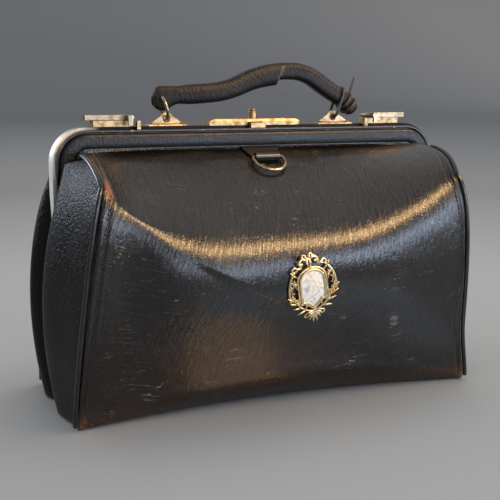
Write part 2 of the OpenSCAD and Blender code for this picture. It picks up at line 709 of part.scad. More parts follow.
// Leather tab and dee ring on the sloping front leather
tab_v = 2.83;
tab_seat = panel_point(0, tab_v);
tab_next = panel_point(0, tab_v + 0.05);
tab_slope = atan2(tab_next[2] - tab_seat[2], tab_next[1] - tab_seat[1]);
tab_thickness = 1.6;
dee_lift = seat + tab_thickness + dee_wire + 0.4;
module on_slope() translate(tab_seat) rotate([tab_slope, 0, 0]) children();
module ring_tab() {
  fold = dee_wire + 0.3 + tab_thickness;
  color(black_leather) on_slope() difference() {
    union() {
      translate([0, 0, seat]) linear_extrude(tab_thickness)
        polygon([[-tab_end_width / 2, 0], [tab_end_width / 2, 0],
                 [tab_width / 2, tab_length], [-tab_width / 2, tab_length]]);
      translate([0, 0, dee_lift]) along_x(-tab_end_width / 2, tab_end_width / 2, fold);
    }
    translate([0, 0, dee_lift]) along_x(-tab_width, tab_width, dee_wire + 0.3);
    translate([-tab_width, -2 * fold, seat - 2 * fold]) cube([2 * tab_width, 4 * fold, 2 * fold]);
  }
}
module dee_ring() {
  half = dee_width / 2 + dee_wire;
  corner = 3;
  color(brass) on_slope() translate([0, 0, dee_lift]) union() {
    along_x(-half + corner, half - corner, dee_wire);
    for (side = [-1, 1]) {
      translate([side * (half - corner), -corner, 0]) rotate([0, 0, side > 0 ? 0 : 90])
        rotate_extrude(angle = 90) translate([corner, 0]) circle(dee_wire, $fn = 24);
      translate([side * half, -corner - 3, 0]) rotate([-90, 0, 0]) cylinder(h = 3, r = dee_wire, $fn = 24);
    }
    translate([0, -corner - 3, 0]) rotate([0, 0, 180])
      rotate_extrude(angle = 180) translate([half, 0]) circle(dee_wire, $fn = 24);
  }
}

// Brooch: a wreath of leaves round a rimmed mother of pearl plaque
brooch_v = 1.61;
brooch_u = brooch_x / half_length(brooch_v);
brooch_seat = panel_point(brooch_u, brooch_v);
brooch_next = panel_point(brooch_u, brooch_v + 0.05);
brooch_lean = atan2(brooch_next[1] - brooch_seat[1], brooch_next[2] - brooch_seat[2]);
brooch_plate = 1.4;
rim_height = 3.2;
rim_width = 1.6;
leaf_length = 11;
leaf_width = 3;
plaque = [brooch_width * 0.46, brooch_height * 0.5];
module on_brooch() translate(brooch_seat) rotate([90 - brooch_lean, 0, 0]) rotate([0, 0, brooch_tilt])
  translate([0, 0, seat]) children();
// Plaque with a round arched top and a pointed foot between small notched shoulders
module plaque_outline(grow) {
  half = plaque[0] / 2 + grow;
  top = plaque[1] / 2 + grow;
  polygon(concat([for (a = [0:15:180]) [half * cos(a), top * (0.45 + 0.55 * sin(a))]],
    [[-half, -top * 0.5], [-half * 0.85, -top * 0.62], [-half * 0.62, -top * 0.62], [0, -top],
     [half * 0.62, -top * 0.62], [half * 0.85, -top * 0.62], [half, -top * 0.5]]));
}
module leaf() {
  radius = (leaf_length * leaf_length / 4 + leaf_width * leaf_width / 4) / leaf_width;
  intersection() {
    translate([radius - leaf_width / 2, 0]) circle(radius, $fn = 96);
    translate([leaf_width / 2 - radius, 0]) circle(radius, $fn = 96);
  }
}
function oval(a, shrink) = [(brooch_width / 2 - shrink) * cos(a), (brooch_height / 2 - shrink) * sin(a)];
// Leaves that spread from one point
module spread(count, angle) {
  for (k = [0:count - 1]) rotate(angle * (k - (count - 1) / 2)) translate([0, 0.6 * leaf_length]) leaf();
}
// Curved stem along the oval
stem_width = 2;
stem_inset = 6;
scroll_inset = 1;
scroll_from = -22;
scroll_to = 68;
module stem(from, to, inset) {
  polygon(concat([for (a = [from:4:to]) oval(a, inset)],
                 [for (a = [to:-4:from]) oval(a, inset + stem_width)]));
}
// Scroll down one side with a bead at each end
module scroll() {
  stem(scroll_from, scroll_to, scroll_inset);
  for (a = [scroll_from, scroll_to]) translate(oval(a, scroll_inset + stem_width)) circle(stem_width, $fn = 24);
}
// Pointed ear beside the arch
module ear() {
  half = plaque[0] / 2 + 2 * rim_width;
  top = plaque[1] / 2;
  polygon([[half, 0.15 * top], [half + 4.5, 0.62 * top], [half + 0.5, 0.5 * top], [half - 2, 0.8 * top]]);
}
// Crest, foot, ears and scrolls, with spokes that carry the scrolls
module wreath() {
  foot_leaves = brooch_leaves - 2;
  crest_leaves = brooch_leaves - 4;
  spray_leaves = brooch_leaves - 5;
  reach = plaque[1] / 2 + 2 * rim_width;
  translate([0, -reach]) rotate(180) spread(foot_leaves, 27);
  translate([0, reach]) spread(crest_leaves, 38);
  for (side = [0, 1]) mirror([side, 0]) {
    scroll();
    ear();
    stem(-90, scroll_from, stem_inset);
    for (a = [scroll_from, 10, 45]) hull() for (end = [oval(a, scroll_inset + stem_width), 0.5 * oval(a, 0)])
      translate(end) circle(stem_width / 2, $fn = 12);
    for (k = [0:spray_leaves - 1]) translate(oval(scroll_from - 8 - 11 * k, stem_inset - 2))
      rotate((k % 2 == 0 ? -50 : -105) - 8 * k) leaf();
  }
}
module brooch_frame() {
  color(brass) on_brooch() difference() {
    union() {
      linear_extrude(brooch_plate) union() {
        plaque_outline(2 * rim_width + 1.5);
        wreath();
      }
      linear_extrude(rim_height) plaque_outline(rim_width);
      linear_extrude(rim_height - 0.8) plaque_outline(2 * rim_width);
    }
    translate([0, 0, brooch_plate / 2]) linear_extrude(rim_height) plaque_outline(0);
  }
}
module brooch_pearl() {
  color(pearl) on_brooch() translate([0, 0, brooch_plate / 2])
    linear_extrude(rim_height - brooch_plate / 2 - 0.5) plaque_outline(-parting);
}

rear_frame();
front_frame();
rear_frame_cover();
front_frame_cover();
left_hinge_pin();
right_hinge_pin();
front_panel();
back_panel();
bottom_panel();
left_gusset();
right_gusset();
front_left_welt();
front_right_welt();
back_left_welt();
back_right_welt();
front_lining();
back_lining();
base_board();
left_handle_mount();
right_handle_mount();
handle();
handle_ring();
handle_lace();
lock_case();
lock_button();
lock_spring();
lock_tongue();
left_catch_base();
right_catch_base();
left_catch_slide();
right_catch_slide();
left_catch_post();
right_catch_post();
hardware_rivets();
ring_tab();
dee_ring();
brooch_frame();
brooch_pearl();
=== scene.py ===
"""Dressed model of an antique doctor's bag.

Black straight-grained leather hangs from two hinged steel jaws, with worn brass fittings, a lashed
handle and a gilt brooch. Shapes are worked out in millimetres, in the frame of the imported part, and
become metres when a mesh is made.
"""
from __future__ import annotations

import json
import logging
import math
from dataclasses import dataclass, field
from enum import Enum
from typing import Sequence

import bmesh
import bpy
import numpy as np
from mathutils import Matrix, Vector

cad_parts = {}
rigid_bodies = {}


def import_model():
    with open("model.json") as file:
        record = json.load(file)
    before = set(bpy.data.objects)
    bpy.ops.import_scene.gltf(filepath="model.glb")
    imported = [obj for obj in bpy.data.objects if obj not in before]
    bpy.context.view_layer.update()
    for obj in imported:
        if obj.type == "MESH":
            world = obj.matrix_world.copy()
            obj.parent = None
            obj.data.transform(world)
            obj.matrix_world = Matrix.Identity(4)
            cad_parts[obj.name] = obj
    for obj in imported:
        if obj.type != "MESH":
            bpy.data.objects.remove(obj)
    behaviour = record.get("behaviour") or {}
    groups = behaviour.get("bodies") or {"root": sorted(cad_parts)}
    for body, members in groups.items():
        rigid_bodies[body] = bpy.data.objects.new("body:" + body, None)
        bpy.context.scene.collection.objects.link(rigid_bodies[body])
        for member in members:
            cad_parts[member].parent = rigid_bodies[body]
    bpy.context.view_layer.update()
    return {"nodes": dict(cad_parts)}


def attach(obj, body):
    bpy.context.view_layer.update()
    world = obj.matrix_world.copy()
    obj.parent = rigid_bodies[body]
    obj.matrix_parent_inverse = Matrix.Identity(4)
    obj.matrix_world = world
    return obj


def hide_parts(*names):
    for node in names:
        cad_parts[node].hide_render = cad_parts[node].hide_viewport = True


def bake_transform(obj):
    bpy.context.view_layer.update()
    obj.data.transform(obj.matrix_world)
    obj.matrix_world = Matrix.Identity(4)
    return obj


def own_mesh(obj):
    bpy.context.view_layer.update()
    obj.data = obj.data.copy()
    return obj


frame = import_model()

MM = 0.001
GRAIN_MAP = "grain"
WEAR = "wear"
SCUFF = "scuff"
LOG = logging.getLogger("doctors_bag")

Colour = tuple[float, float, float, float]
Values = float | np.ndarray


class Body(Enum):
    """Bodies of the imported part."""

    BAG = "body"
    JAW = "front_jaw"
    HANDLE = "handle"
    BUTTON = "lock_button"
    LEFT_SLIDE = "left_slide"
    RIGHT_SLIDE = "right_slide"
    DEE = "dee_ring"


class Slot(Enum):
    """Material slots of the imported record."""

    LEATHER = "black_leather"
    BAND = "band_leather"
    NICKEL = "nickel"
    STEEL = "black_steel"
    BRASS = "brass"
    PEARL = "pearl"
    CLOTH = "cloth"
    BOARD = "board"


class Fold(Enum):
    """Soft piece between the body and the front jaw, with the two ends of the bend it would take in millimetres;
    it is not tied to the jaw.
    """

    SLOPE = ((0.0, -94.0, 148.0), (0.0, -54.0, 182.0))
    WEB = ((0.0, 8.0, 170.0), (0.0, -4.7, 170.0))


def linear(code: str) -> Colour:
    """Turns an sRGB hex colour into a linear one.

    Args:
        code: colour such as "#0c0a09".

    Returns:
        The linear red, green and blue with an alpha of one.
    """
    parts = [int(code[i:i + 2], 16) / 255 for i in (1, 3, 5)]
    red, green, blue = (c / 12.92 if c <= 0.04045 else ((c + 0.055) / 1.055) ** 2.4 for c in parts)
    return red, green, blue, 1.0


def add(tree: bpy.types.NodeTree, kind: str, inputs: dict | None = None, **settings) -> bpy.types.Node:
    """Adds a node with its settings and links.

    Args:
        tree: tree that gets the node.
        kind: Blender's name of the node.
        inputs: value, or socket to link from, by the name or number of the input.
        settings: properties of the node, and stops for the colours of a ramp.

    Returns:
        The new node.
    """
    node = tree.nodes.new(kind)
    for key, value in settings.items():
        if key == "stops":
            elements = node.color_ramp.elements
            while len(elements) < len(value):
                elements.new(1.0)
            for element, (place, colour) in zip(elements, value):
                element.position, element.color = place, colour
        else:
            setattr(node, key, value)
    for key, value in (inputs or {}).items():
        if isinstance(value, bpy.types.NodeSocket):
            tree.links.new(value, node.inputs[key])
        else:
            node.inputs[key].default_value = value
    return node


def mix(a: Values, b: Values, t: Values) -> Values:
    """Point between a and b."""
    return a + (b - a) * t


def smooth(x: Values, low: float, high: float) -> Values:
    """Smooth step of x from low to high."""
    t = np.clip((x - low) / (high - low), 0.0, 1.0)
    return t * t * (3 - 2 * t)


def bump(x: Values, centre: float, width: float) -> Values:
    """Bell of height one round centre."""
    return np.exp(-((x - centre) / width) ** 2)


def window(x: Values, start: float, full: float, fade: float, stop: float) -> Values:
    """Smooth window of x that rises from start to full and falls from fade to stop."""
    return smooth(x, start, full) * smooth(-x, -stop, -fade)


def bezier(points: Sequence[np.ndarray], t: float) -> np.ndarray:
    """Point of a cubic curve."""
    s = 1 - t
    return s ** 3 * points[0] + 3 * s * s * t * points[1] + 3 * s * t * t * points[2] + t ** 3 * points[3]


def spline(points: np.ndarray, t: float) -> np.ndarray:
    """Point of the quadratic spline that starts and ends on the first and last control point.

    Args:
        points: control points, one a row.
        t: place along the spline, from 0 to 1.

    Returns:
        The point.
    """
    count = len(points)
    s = min(max(t * (count - 2), 0.0), count - 2.0001)
    k = int(s)
    f = s - k
    start = points[0] if k == 0 else (points[k] + points[k + 1]) / 2
    end = points[-1] if k == count - 3 else (points[k + 1] + points[k + 2]) / 2
    return (1 - f) ** 2 * start + 2 * (1 - f) * f * points[k + 1] + f * f * end


def unit(rows: np.ndarray) -> np.ndarray:
    """Vectors of length one."""
    return rows / np.maximum(np.linalg.norm(rows, axis=-1, keepdims=True), 1e-9)


def grid_normals(grid: np.ndarray) -> np.ndarray:
    """Outward normals of a grid whose columns run along and whose rows run up."""
    return unit(np.cross(np.gradient(grid, axis=1), np.gradient(grid, axis=0)))


def new_object(name: str, mesh: bpy.types.Mesh) -> bpy.types.Object:
    """Links a mesh to the scene as an object at the origin."""
    obj = bpy.data.objects.new(name, mesh)
    bpy.context.scene.collection.objects.link(obj)
    return obj


def apply_modifiers(obj: bpy.types.Object) -> bpy.types.Object:
    """Turns an object's modifiers into plain mesh.

    Args:
        obj: object with modifiers.

    Returns:
        The same object, with the result as its mesh.
    """
    graph = bpy.context.evaluated_depsgraph_get()
    mesh = bpy.data.meshes.new_from_object(obj.evaluated_get(graph), depsgraph=graph)
    old = obj.data
    obj.modifiers.clear()
    obj.data = mesh
    mesh.name = obj.name
    bpy.data.meshes.remove(old)
    return obj


def mesh_of(name: str, points: np.ndarray, faces: list, surface: np.ndarray | None = None,
            **marks: np.ndarray | None) -> bpy.types.Object:
    """Makes a smooth object from points in millimetres.

    Args:
        name: name of the piece.
        points: one point a row.
        faces: corners of each face.
        surface: place of each point on the hide in millimetres, for the grain.
        marks: value of each point by the name of the attribute, such as wear.

    Returns:
        The new object.
    """
    mesh = bpy.data.meshes.new(name)
    mesh.from_pydata((np.asarray(points) * MM).tolist(), [], [list(f) for f in faces])
    mesh.polygons.foreach_set("use_smooth", [True] * len(mesh.polygons))
    if surface is not None:
        corners = np.zeros(len(mesh.loops), np.int32)
        mesh.loops.foreach_get("vertex_index", corners)
        layer = mesh.uv_layers.new(name=GRAIN_MAP)
        layer.data.foreach_set("uv", (surface[corners] * MM).astype(np.float32).ravel())
    for mark, values in marks.items():
        if values is not None:
            layer = mesh.attributes.new(mark, "FLOAT", "POINT")
            layer.data.foreach_set("value", np.asarray(values, np.float32).ravel())
    mesh.update()
    return new_object(name, mesh)


def sheet_of(name: str, grid: np.ndarray, thickness: float, **marks: np.ndarray | None) -> bpy.types.Object:
    """Makes a leather sheet whose outer face is the grid.

    Args:
        name: name of the piece.
        grid: points in millimetres, by row and column.
        thickness: thickness in millimetres, laid on the inner side.
        marks: value of each point by the name of the attribute, such as wear.

    Returns:
        The new object.
    """
    rows, columns = grid.shape[:2]
    index = np.arange(rows * columns).reshape(rows, columns)
    quads = np.stack([index[:-1, :-1], index[:-1, 1:], index[1:, 1:], index[1:, :-1]], -1).reshape(-1, 4)
    middle = grid[rows // 2]
    along = np.concatenate([[0], np.cumsum(np.linalg.norm(np.diff(middle, axis=0), axis=1))])
    rises = np.linalg.norm(np.diff(grid, axis=0), axis=2)
    up = np.concatenate([np.zeros((1, columns)), np.cumsum(rises, axis=0)])
    surface = np.stack([np.broadcast_to(along, (rows, columns)), up], -1).reshape(-1, 2)
    obj = mesh_of(name, grid.reshape(-1, 3), quads.tolist(), surface, **marks)
    wall = obj.modifiers.new("wall", "SOLIDIFY")
    wall.thickness, wall.offset, wall.use_even_offset = thickness * MM, -1.0, False
    return apply_modifiers(obj)


def rings_of(name: str, rings: np.ndarray, wear: np.ndarray | None = None,
             closed: bool = False) -> bpy.types.Object:
    """Makes a closed piece from rings of points along a path.

    Args:
        name: name of the piece.
        rings: points in millimetres, by ring and place on the ring.
        wear: wear of each point.
        closed: whether the last ring joins the first one.

    Returns:
        The new object.
    """
    count, sides = rings.shape[:2]
    index = np.arange(count * sides).reshape(count, sides)
    after = np.roll(index, -1, axis=1)
    last = count if closed else count - 1
    faces = [(index[i, k], after[i, k], after[(i + 1) % count, k], index[(i + 1) % count, k])
             for i in range(last) for k in range(sides)]
    if not closed:
        faces += [tuple(index[0, ::-1]), tuple(index[-1])]
    steps = np.linalg.norm(np.diff(rings.mean(axis=1), axis=0), axis=1)
    along = np.concatenate([[0], np.cumsum(steps)])
    girth = np.linalg.norm(rings[count // 2] - np.roll(rings[count // 2], 1, axis=0), axis=1).cumsum()
    surface = np.stack(np.broadcast_arrays(along[:, None], girth[None, :]), -1).reshape(-1, 2)
    obj = mesh_of(name, rings.reshape(-1, 3), faces, surface, wear=wear)
    shell = bmesh.new()
    shell.from_mesh(obj.data)
    bmesh.ops.recalc_face_normals(shell, faces=shell.faces)
    shell.to_mesh(obj.data)
    shell.free()
    return obj


def path_rings(path: np.ndarray, radius: float | np.ndarray, sides: int = 12,
               closed: bool = False) -> np.ndarray:
    """Round rings along a path, turned as little as possible.

    Args:
        path: points in millimetres.
        radius: radius of the tube, for all of it or for each point.
        sides: points on a ring.
        closed: whether the path closes on itself.

    Returns:
        The rings, by ring and place on the ring.
    """
    around = np.roll(path, -1, axis=0) - np.roll(path, 1, axis=0)
    heading = unit(around if closed else np.gradient(path, axis=0))
    side = np.zeros_like(path)
    guess = np.array([0.0, 0.0, 1.0]) if abs(heading[0][2]) < 0.9 else np.array([1.0, 0.0, 0.0])
    for i, way in enumerate(heading):
        guess = unit(guess - way * float(guess @ way))
        side[i] = guess
    other = np.cross(heading, side)
    turn = np.linspace(0, 2 * np.pi, sides, endpoint=False)
    size = np.broadcast_to(radius, (len(path),))[:, None, None]
    return path[:, None] + size * (np.cos(turn)[None, :, None] * side[:, None]
                                   + np.sin(turn)[None, :, None] * other[:, None])


def cad_copy(name: str, node: str, edge: float = 0.0) -> bpy.types.Object:
    """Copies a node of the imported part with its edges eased.

    Args:
        name: name of the new piece.
        node: node that is copied.
        edge: width of the eased edges in millimetres.

    Returns:
        The new object.
    """
    shell = bmesh.new()
    shell.from_mesh(frame["nodes"][node].data)
    bmesh.ops.remove_doubles(shell, verts=shell.verts, dist=2e-5)
    bmesh.ops.dissolve_limit(shell, angle_limit=math.radians(2), verts=shell.verts, edges=shell.edges)
    mesh = bpy.data.meshes.new(name)
    shell.to_mesh(mesh)
    shell.free()
    obj = new_object(name, mesh)
    if edge:
        ease = obj.modifiers.new("edge", "BEVEL")
        ease.width, ease.segments, ease.limit_method = edge * MM, 2, "ANGLE"
        ease.angle_limit = math.radians(35)
        ease.use_clamp_overlap = True
    corners = obj.modifiers.new("corners", "WEIGHTED_NORMAL")
    corners.keep_sharp = True
    mesh.polygons.foreach_set("use_smooth", [True] * len(mesh.polygons))
    mesh.set_sharp_from_angle(angle=math.radians(40))
    return apply_modifiers(obj)


def settle(obj: bpy.types.Object, finish: bpy.types.Material, slot: Slot, place: Body | Fold,
           *nodes: str) -> bpy.types.Object:
    """Dresses a finished piece and ties it to its body, or, for a fold, leaves it in place.

    Args:
        obj: the piece, in place.
        finish: its material.
        slot: the record's slot that the piece matches; not used.
        place: the body it rides on, or a fold, which leaves the piece where it is, tied to no body.
        nodes: CAD nodes that it stands for.

    Returns:
        The piece.
    """
    obj.data.materials.clear()
    obj.data.materials.append(finish)
    if isinstance(place, Fold):
        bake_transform(obj)
    else:
        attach(obj, place.value)
    if nodes:
        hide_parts(*nodes)
    LOG.info("%s: %d faces, %s", obj.name, len(obj.data.polygons), place.name.lower())
    return obj


def new_material(name: str) -> tuple[bpy.types.Material, bpy.types.NodeTree]:
    """Makes an empty node material."""
    material = bpy.data.materials.new(name)
    material.use_nodes = True
    material.node_tree.nodes.clear()
    return material, material.node_tree


def shade(tree: bpy.types.NodeTree, **inputs) -> None:
    """Adds the surface shader and the output.

    Args:
        tree: tree of the material.
        inputs: value or socket by the shader's input name, with underscores for spaces.
    """
    named = {key.replace("_", " "): value for key, value in inputs.items()}
    shader = add(tree, "ShaderNodeBsdfPrincipled", named)
    add(tree, "ShaderNodeOutputMaterial", {"Surface": shader.outputs[0]})


@dataclass(frozen=True)
class GrainedLeather:
    """Cowhide dyed black, boarded to a straight grain and polished: fine lines that catch the light.

    Sizes are in millimetres. Lines and pebbles are drawn a little coarse, so that they show.
    """

    name: str
    dye: str = "#070606"
    bloom: str = "#12100e"
    fade: str = "#2f2013"
    bare: str = "#7a4d31"
    scuff: str = "#8d8880"
    gloss: tuple[float, float] = (0.2, 0.32)
    shine: float = 0.5
    line: float = 2.6
    line_length: float = 13.0
    slant: float = 0.2
    rib: tuple[float, float] = (0.36, 0.64)
    pebble: float = 1.1
    line_share: float = 0.75
    relief: float = 0.42
    cloud: float = 45.0
    grit: float = 3.5
    rub: tuple[float, float] = (0.92, 1.3)
    thin: float = 0.6
    coat: float = 0.2
    coat_gloss: float = 0.22
    scratches: float = 0.0
    scratch_length: float = 38.0
    scratch_spacing: float = 5.0
    scratch_slant: float = 0.12
    scratch_width: float = 0.006
    scratch_patch: float = 28.0
    scratch_share: tuple[float, float] = (0.56, 0.66)
    oval_range: tuple[float, float] = (0.7, 1.2)
    oval_strength: float = 0.32

    def build(self) -> bpy.types.Material:
        """Builds the material.

        Returns:
            The material.
        """
        material, tree = new_material(self.name)
        hide = add(tree, "ShaderNodeUVMap", uv_map=GRAIN_MAP).outputs[0]
        cloud = add(tree, "ShaderNodeTexNoise", {
            "Vector": hide, "Scale": 1 / (self.cloud * MM), "Detail": 4.0}, noise_dimensions="2D")
        grit = add(tree, "ShaderNodeTexNoise", {
            "Vector": hide, "Scale": 1 / (self.grit * MM), "Detail": 5.0, "Roughness": 0.7},
            noise_dimensions="2D")
        colour = self.worn_dye(tree, cloud.outputs[0], grit.outputs[0])
        if self.scratches:
            mark = self.scuffs(tree, hide, grit.outputs[0])
            colour = add(tree, "ShaderNodeMix", {0: mark, 6: colour, 7: linear(self.scuff)},
                         data_type="RGBA").outputs[2]
        rough = add(tree, "ShaderNodeMapRange", {
            0: cloud.outputs[0], 1: 0.3, 2: 0.7, 3: self.gloss[0], 4: self.gloss[1]})
        shade(tree, Base_Color=colour, Roughness=rough.outputs[0], Normal=self.grain(tree, hide), IOR=1.5,
              Specular_IOR_Level=self.shine, Coat_Weight=self.coat, Coat_Roughness=self.coat_gloss)
        return material

    def grain(self, tree: bpy.types.NodeTree, hide: bpy.types.NodeSocket) -> bpy.types.NodeSocket:
        """Draws the boarded lines and the pebbles between them.

        Args:
            tree: tree of the material.
            hide: place on the hide.

        Returns:
            The normal of the grained surface.
        """
        lean = add(tree, "ShaderNodeMapping", {0: hide, "Rotation": (0, 0, self.slant)})
        line = add(tree, "ShaderNodeMapping", {
            0: lean.outputs[0], "Scale": (1 / (self.line * MM), 1 / (self.line_length * MM), 1)})
        lines = add(tree, "ShaderNodeTexNoise", {
            "Vector": line.outputs[0], "Scale": 1.0, "Detail": 3.0, "Roughness": 0.6, "Distortion": 0.35},
            noise_dimensions="2D")
        dots = add(tree, "ShaderNodeTexVoronoi", {"Vector": hide, "Scale": 1 / (self.pebble * MM)},
                   voronoi_dimensions="2D", feature="SMOOTH_F1")
        ribs = add(tree, "ShaderNodeMapRange", {
            0: lines.outputs[0], 1: self.rib[0], 2: self.rib[1], 3: 0.0, 4: 1.0})
        height = add(tree, "ShaderNodeMix", {0: 1 - self.line_share, 2: ribs.outputs[0], 3: dots.outputs[0]})
        return add(tree, "ShaderNodeBump", {
            "Strength": 1.0, "Distance": self.relief * MM, "Height": height.outputs[0]}).outputs[0]

    def worn_dye(self, tree: bpy.types.NodeTree, cloud: bpy.types.NodeSocket,
                 grit: bpy.types.NodeSocket) -> bpy.types.NodeSocket:
        """Colours the dyed hide, towards the fade colour and then bare where it is worn; where the wear holds a
        painted warm sheen, the sheen takes the fade colour.

        Args:
            tree: tree of the material.
            cloud: slow noise over the hide.
            grit: fine noise over the hide.

        Returns:
            The colour.
        """
        worn = add(tree, "ShaderNodeAttribute", attribute_name=WEAR).outputs["Fac"]
        depth = add(tree, "ShaderNodeMath", {0: worn, 1: grit}, operation="ADD")
        rubbed = add(tree, "ShaderNodeMapRange", {
            0: depth.outputs[0], 1: self.rub[0], 2: self.rub[1], 3: 0.0, 4: 1.0})
        thin = add(tree, "ShaderNodeMapRange", {0: worn, 1: 0.0, 2: self.thin, 3: 0.0, 4: 1.0})
        colour = linear(self.dye)
        for share, tone in ((cloud, self.bloom), (thin.outputs[0], self.fade), (rubbed.outputs[0], self.bare)):
            colour = add(tree, "ShaderNodeMix", {0: share, 6: colour, 7: linear(tone)},
                         data_type="RGBA").outputs[2]
        return colour

    def scuffs(self, tree: bpy.types.NodeTree, hide: bpy.types.NodeSocket,
               grit: bpy.types.NodeSocket) -> bpy.types.NodeSocket:
        """Draws hair scratches in patches and where the leather is scuffed, and rubs the oval.

        Args:
            tree: tree of the material.
            hide: place on the hide.
            grit: fine noise over the hide.

        Returns:
            Strength of the marks.
        """
        stretch = add(tree, "ShaderNodeMapping", {
            0: hide, "Rotation": (0, 0, self.scratch_slant),
            "Scale": (1 / (self.scratch_length * MM), 1 / (self.scratch_spacing * MM), 1)})
        streak = add(tree, "ShaderNodeTexNoise", {
            "Vector": stretch.outputs[0], "Scale": 1.0, "Detail": 1.5, "Distortion": 0.5},
            noise_dimensions="2D")
        off = add(tree, "ShaderNodeMath", {0: streak.outputs[0], 1: 0.5}, operation="SUBTRACT")
        near = add(tree, "ShaderNodeMath", {0: off.outputs[0]}, operation="ABSOLUTE")
        hair = add(tree, "ShaderNodeMapRange", {
            0: near.outputs[0], 1: 0.0, 2: self.scratch_width, 3: self.scratches, 4: 0.0})
        patch = add(tree, "ShaderNodeTexNoise", {
            "Vector": hide, "Scale": 1 / (self.scratch_patch * MM), "Detail": 2.0}, noise_dimensions="2D")
        some = add(tree, "ShaderNodeMapRange", {
            0: patch.outputs[0], 1: self.scratch_share[0], 2: self.scratch_share[1], 3: 0.0, 4: 1.0})
        scuff = add(tree, "ShaderNodeAttribute", attribute_name=SCUFF).outputs["Fac"]
        where = add(tree, "ShaderNodeMath", {0: some.outputs[0], 1: scuff}, operation="MAXIMUM")
        fine = add(tree, "ShaderNodeMath", {0: hair.outputs[0], 1: where.outputs[0]}, operation="MULTIPLY")
        raw = add(tree, "ShaderNodeMath", {0: scuff, 1: grit}, operation="MULTIPLY")
        oval = add(tree, "ShaderNodeMapRange", {
            0: raw.outputs[0], 1: self.oval_range[0], 2: self.oval_range[1], 3: 0.0, 4: self.oval_strength})
        return add(tree, "ShaderNodeMath", {0: fine.outputs[0], 1: oval.outputs[0]},
                   operation="MAXIMUM").outputs[0]


@dataclass(frozen=True)
class AgedMetal:
    """Plated or solid metal, hand polished for years: bright on the faces, clouded by tarnish in patches.

    Sizes are in millimetres. Where black is given, the metal turns black from that stretch of x onwards, a
    painted shade that leaves bright metal only at the end where light falls.
    """

    name: str
    bright: str
    tarnish: str
    gloss: tuple[float, float] = (0.2, 0.42)
    patch: float = 7.0
    spread: tuple[float, float] = (0.45, 0.75)
    brushing: float = 0.8
    relief: float = 0.05
    black: tuple[float, float] | None = None
    # black of the painted shade, past the given stretch of x
    lacquer: str = "#22201e"

    def build(self) -> bpy.types.Material:
        """Builds the material.

        Returns:
            The material.
        """
        material, tree = new_material(self.name)
        place = add(tree, "ShaderNodeTexCoord").outputs["Object"]
        cloud = add(tree, "ShaderNodeTexNoise", {
            "Vector": place, "Scale": 1 / (self.patch * MM), "Detail": 6.0, "Roughness": 0.6})
        dirt = add(tree, "ShaderNodeMapRange", {
            0: cloud.outputs[0], 1: self.spread[0], 2: self.spread[1], 3: 0.0, 4: 1.0})
        tone = add(tree, "ShaderNodeMix", {0: dirt.outputs[0], 6: linear(self.bright), 7: linear(self.tarnish)},
                   data_type="RGBA").outputs[2]
        # painted shade: black from the given stretch of x onwards, with the bright metal kept only at the end
        # where light falls
        if self.black:
            along = add(tree, "ShaderNodeSeparateXYZ", {0: place})
            kept = add(tree, "ShaderNodeMapRange", {
                0: along.outputs[0], 1: self.black[0] * MM, 2: self.black[1] * MM})
            tone = add(tree, "ShaderNodeMix", {0: kept.outputs[0], 6: tone, 7: linear(self.lacquer)},
                       data_type="RGBA").outputs[2]
        rough = add(tree, "ShaderNodeMapRange", {
            0: cloud.outputs[0], 1: 0.3, 2: 0.7, 3: self.gloss[0], 4: self.gloss[1]})
        fine = add(tree, "ShaderNodeTexNoise", {
            "Vector": place, "Scale": 1 / (self.brushing * MM), "Detail": 3.0})
        relief = add(tree, "ShaderNodeBump", {
            "Strength": 0.5, "Distance": self.relief * MM, "Height": fine.outputs[0]})
        shade(tree, Base_Color=tone, Metallic=1.0, Roughness=rough.outputs[0], Normal=relief.outputs[0])
        return material


@dataclass(frozen=True)
class JapannedSteel:
    """Steel under black stoving lacquer: glossy black, chipped to pale metal along the edges."""

    name: str = "japanned_steel"
    lacquer: str = "#0d0d0e"
    metal: str = "#a7a39a"
    chip: tuple[float, float] = (5.0, 2.0)

    def build(self) -> bpy.types.Material:
        """Builds the material.

        Returns:
            The material.
        """
        material, tree = new_material(self.name)
        place = add(tree, "ShaderNodeTexCoord").outputs["Object"]
        long, wide = (1 / (size * MM) for size in self.chip)
        stretch = add(tree, "ShaderNodeMapping", {0: place, "Scale": (long, wide, wide)})
        noise = add(tree, "ShaderNodeTexNoise", {
            "Vector": stretch.outputs[0], "Scale": 1.0, "Detail": 4.0, "Roughness": 0.65})
        chips = add(tree, "ShaderNodeMapRange", {0: noise.outputs[0], 1: 0.62, 2: 0.66, 3: 0.0, 4: 1.0})
        colour = add(tree, "ShaderNodeMix", {
            0: chips.outputs[0], 6: linear(self.lacquer), 7: linear(self.metal)}, data_type="RGBA")
        shade(tree, Base_Color=colour.outputs[2], Metallic=chips.outputs[0], Roughness=0.34)
        return material


@dataclass(frozen=True)
class MotherOfPearl:
    """Polished shell: milky white with drifting grey, green and rose layers under a glassy face."""

    name: str = "mother_of_pearl"
    layer: float = 10.0
    layers: tuple = ((0.25, "#8f918f"), (0.42, "#bcbdb8"), (0.52, "#d5d5cc"), (0.62, "#b9b5ac"),
                     (0.8, "#a9afa8"))

    def build(self) -> bpy.types.Material:
        """Builds the material.

        Returns:
            The material.
        """
        material, tree = new_material(self.name)
        place = add(tree, "ShaderNodeTexCoord").outputs["Object"]
        cloud = add(tree, "ShaderNodeTexNoise", {
            "Vector": place, "Scale": 1 / (self.layer * MM), "Detail": 3.0, "Distortion": 1.2})
        stops = [(share, linear(code)) for share, code in self.layers]
        tone = add(tree, "ShaderNodeValToRGB", {0: cloud.outputs[0]}, stops=stops)
        shade(tree, Base_Color=tone.outputs[0], Roughness=0.18, Coat_Weight=0.8, Coat_Roughness=0.05, IOR=1.53)
        return material


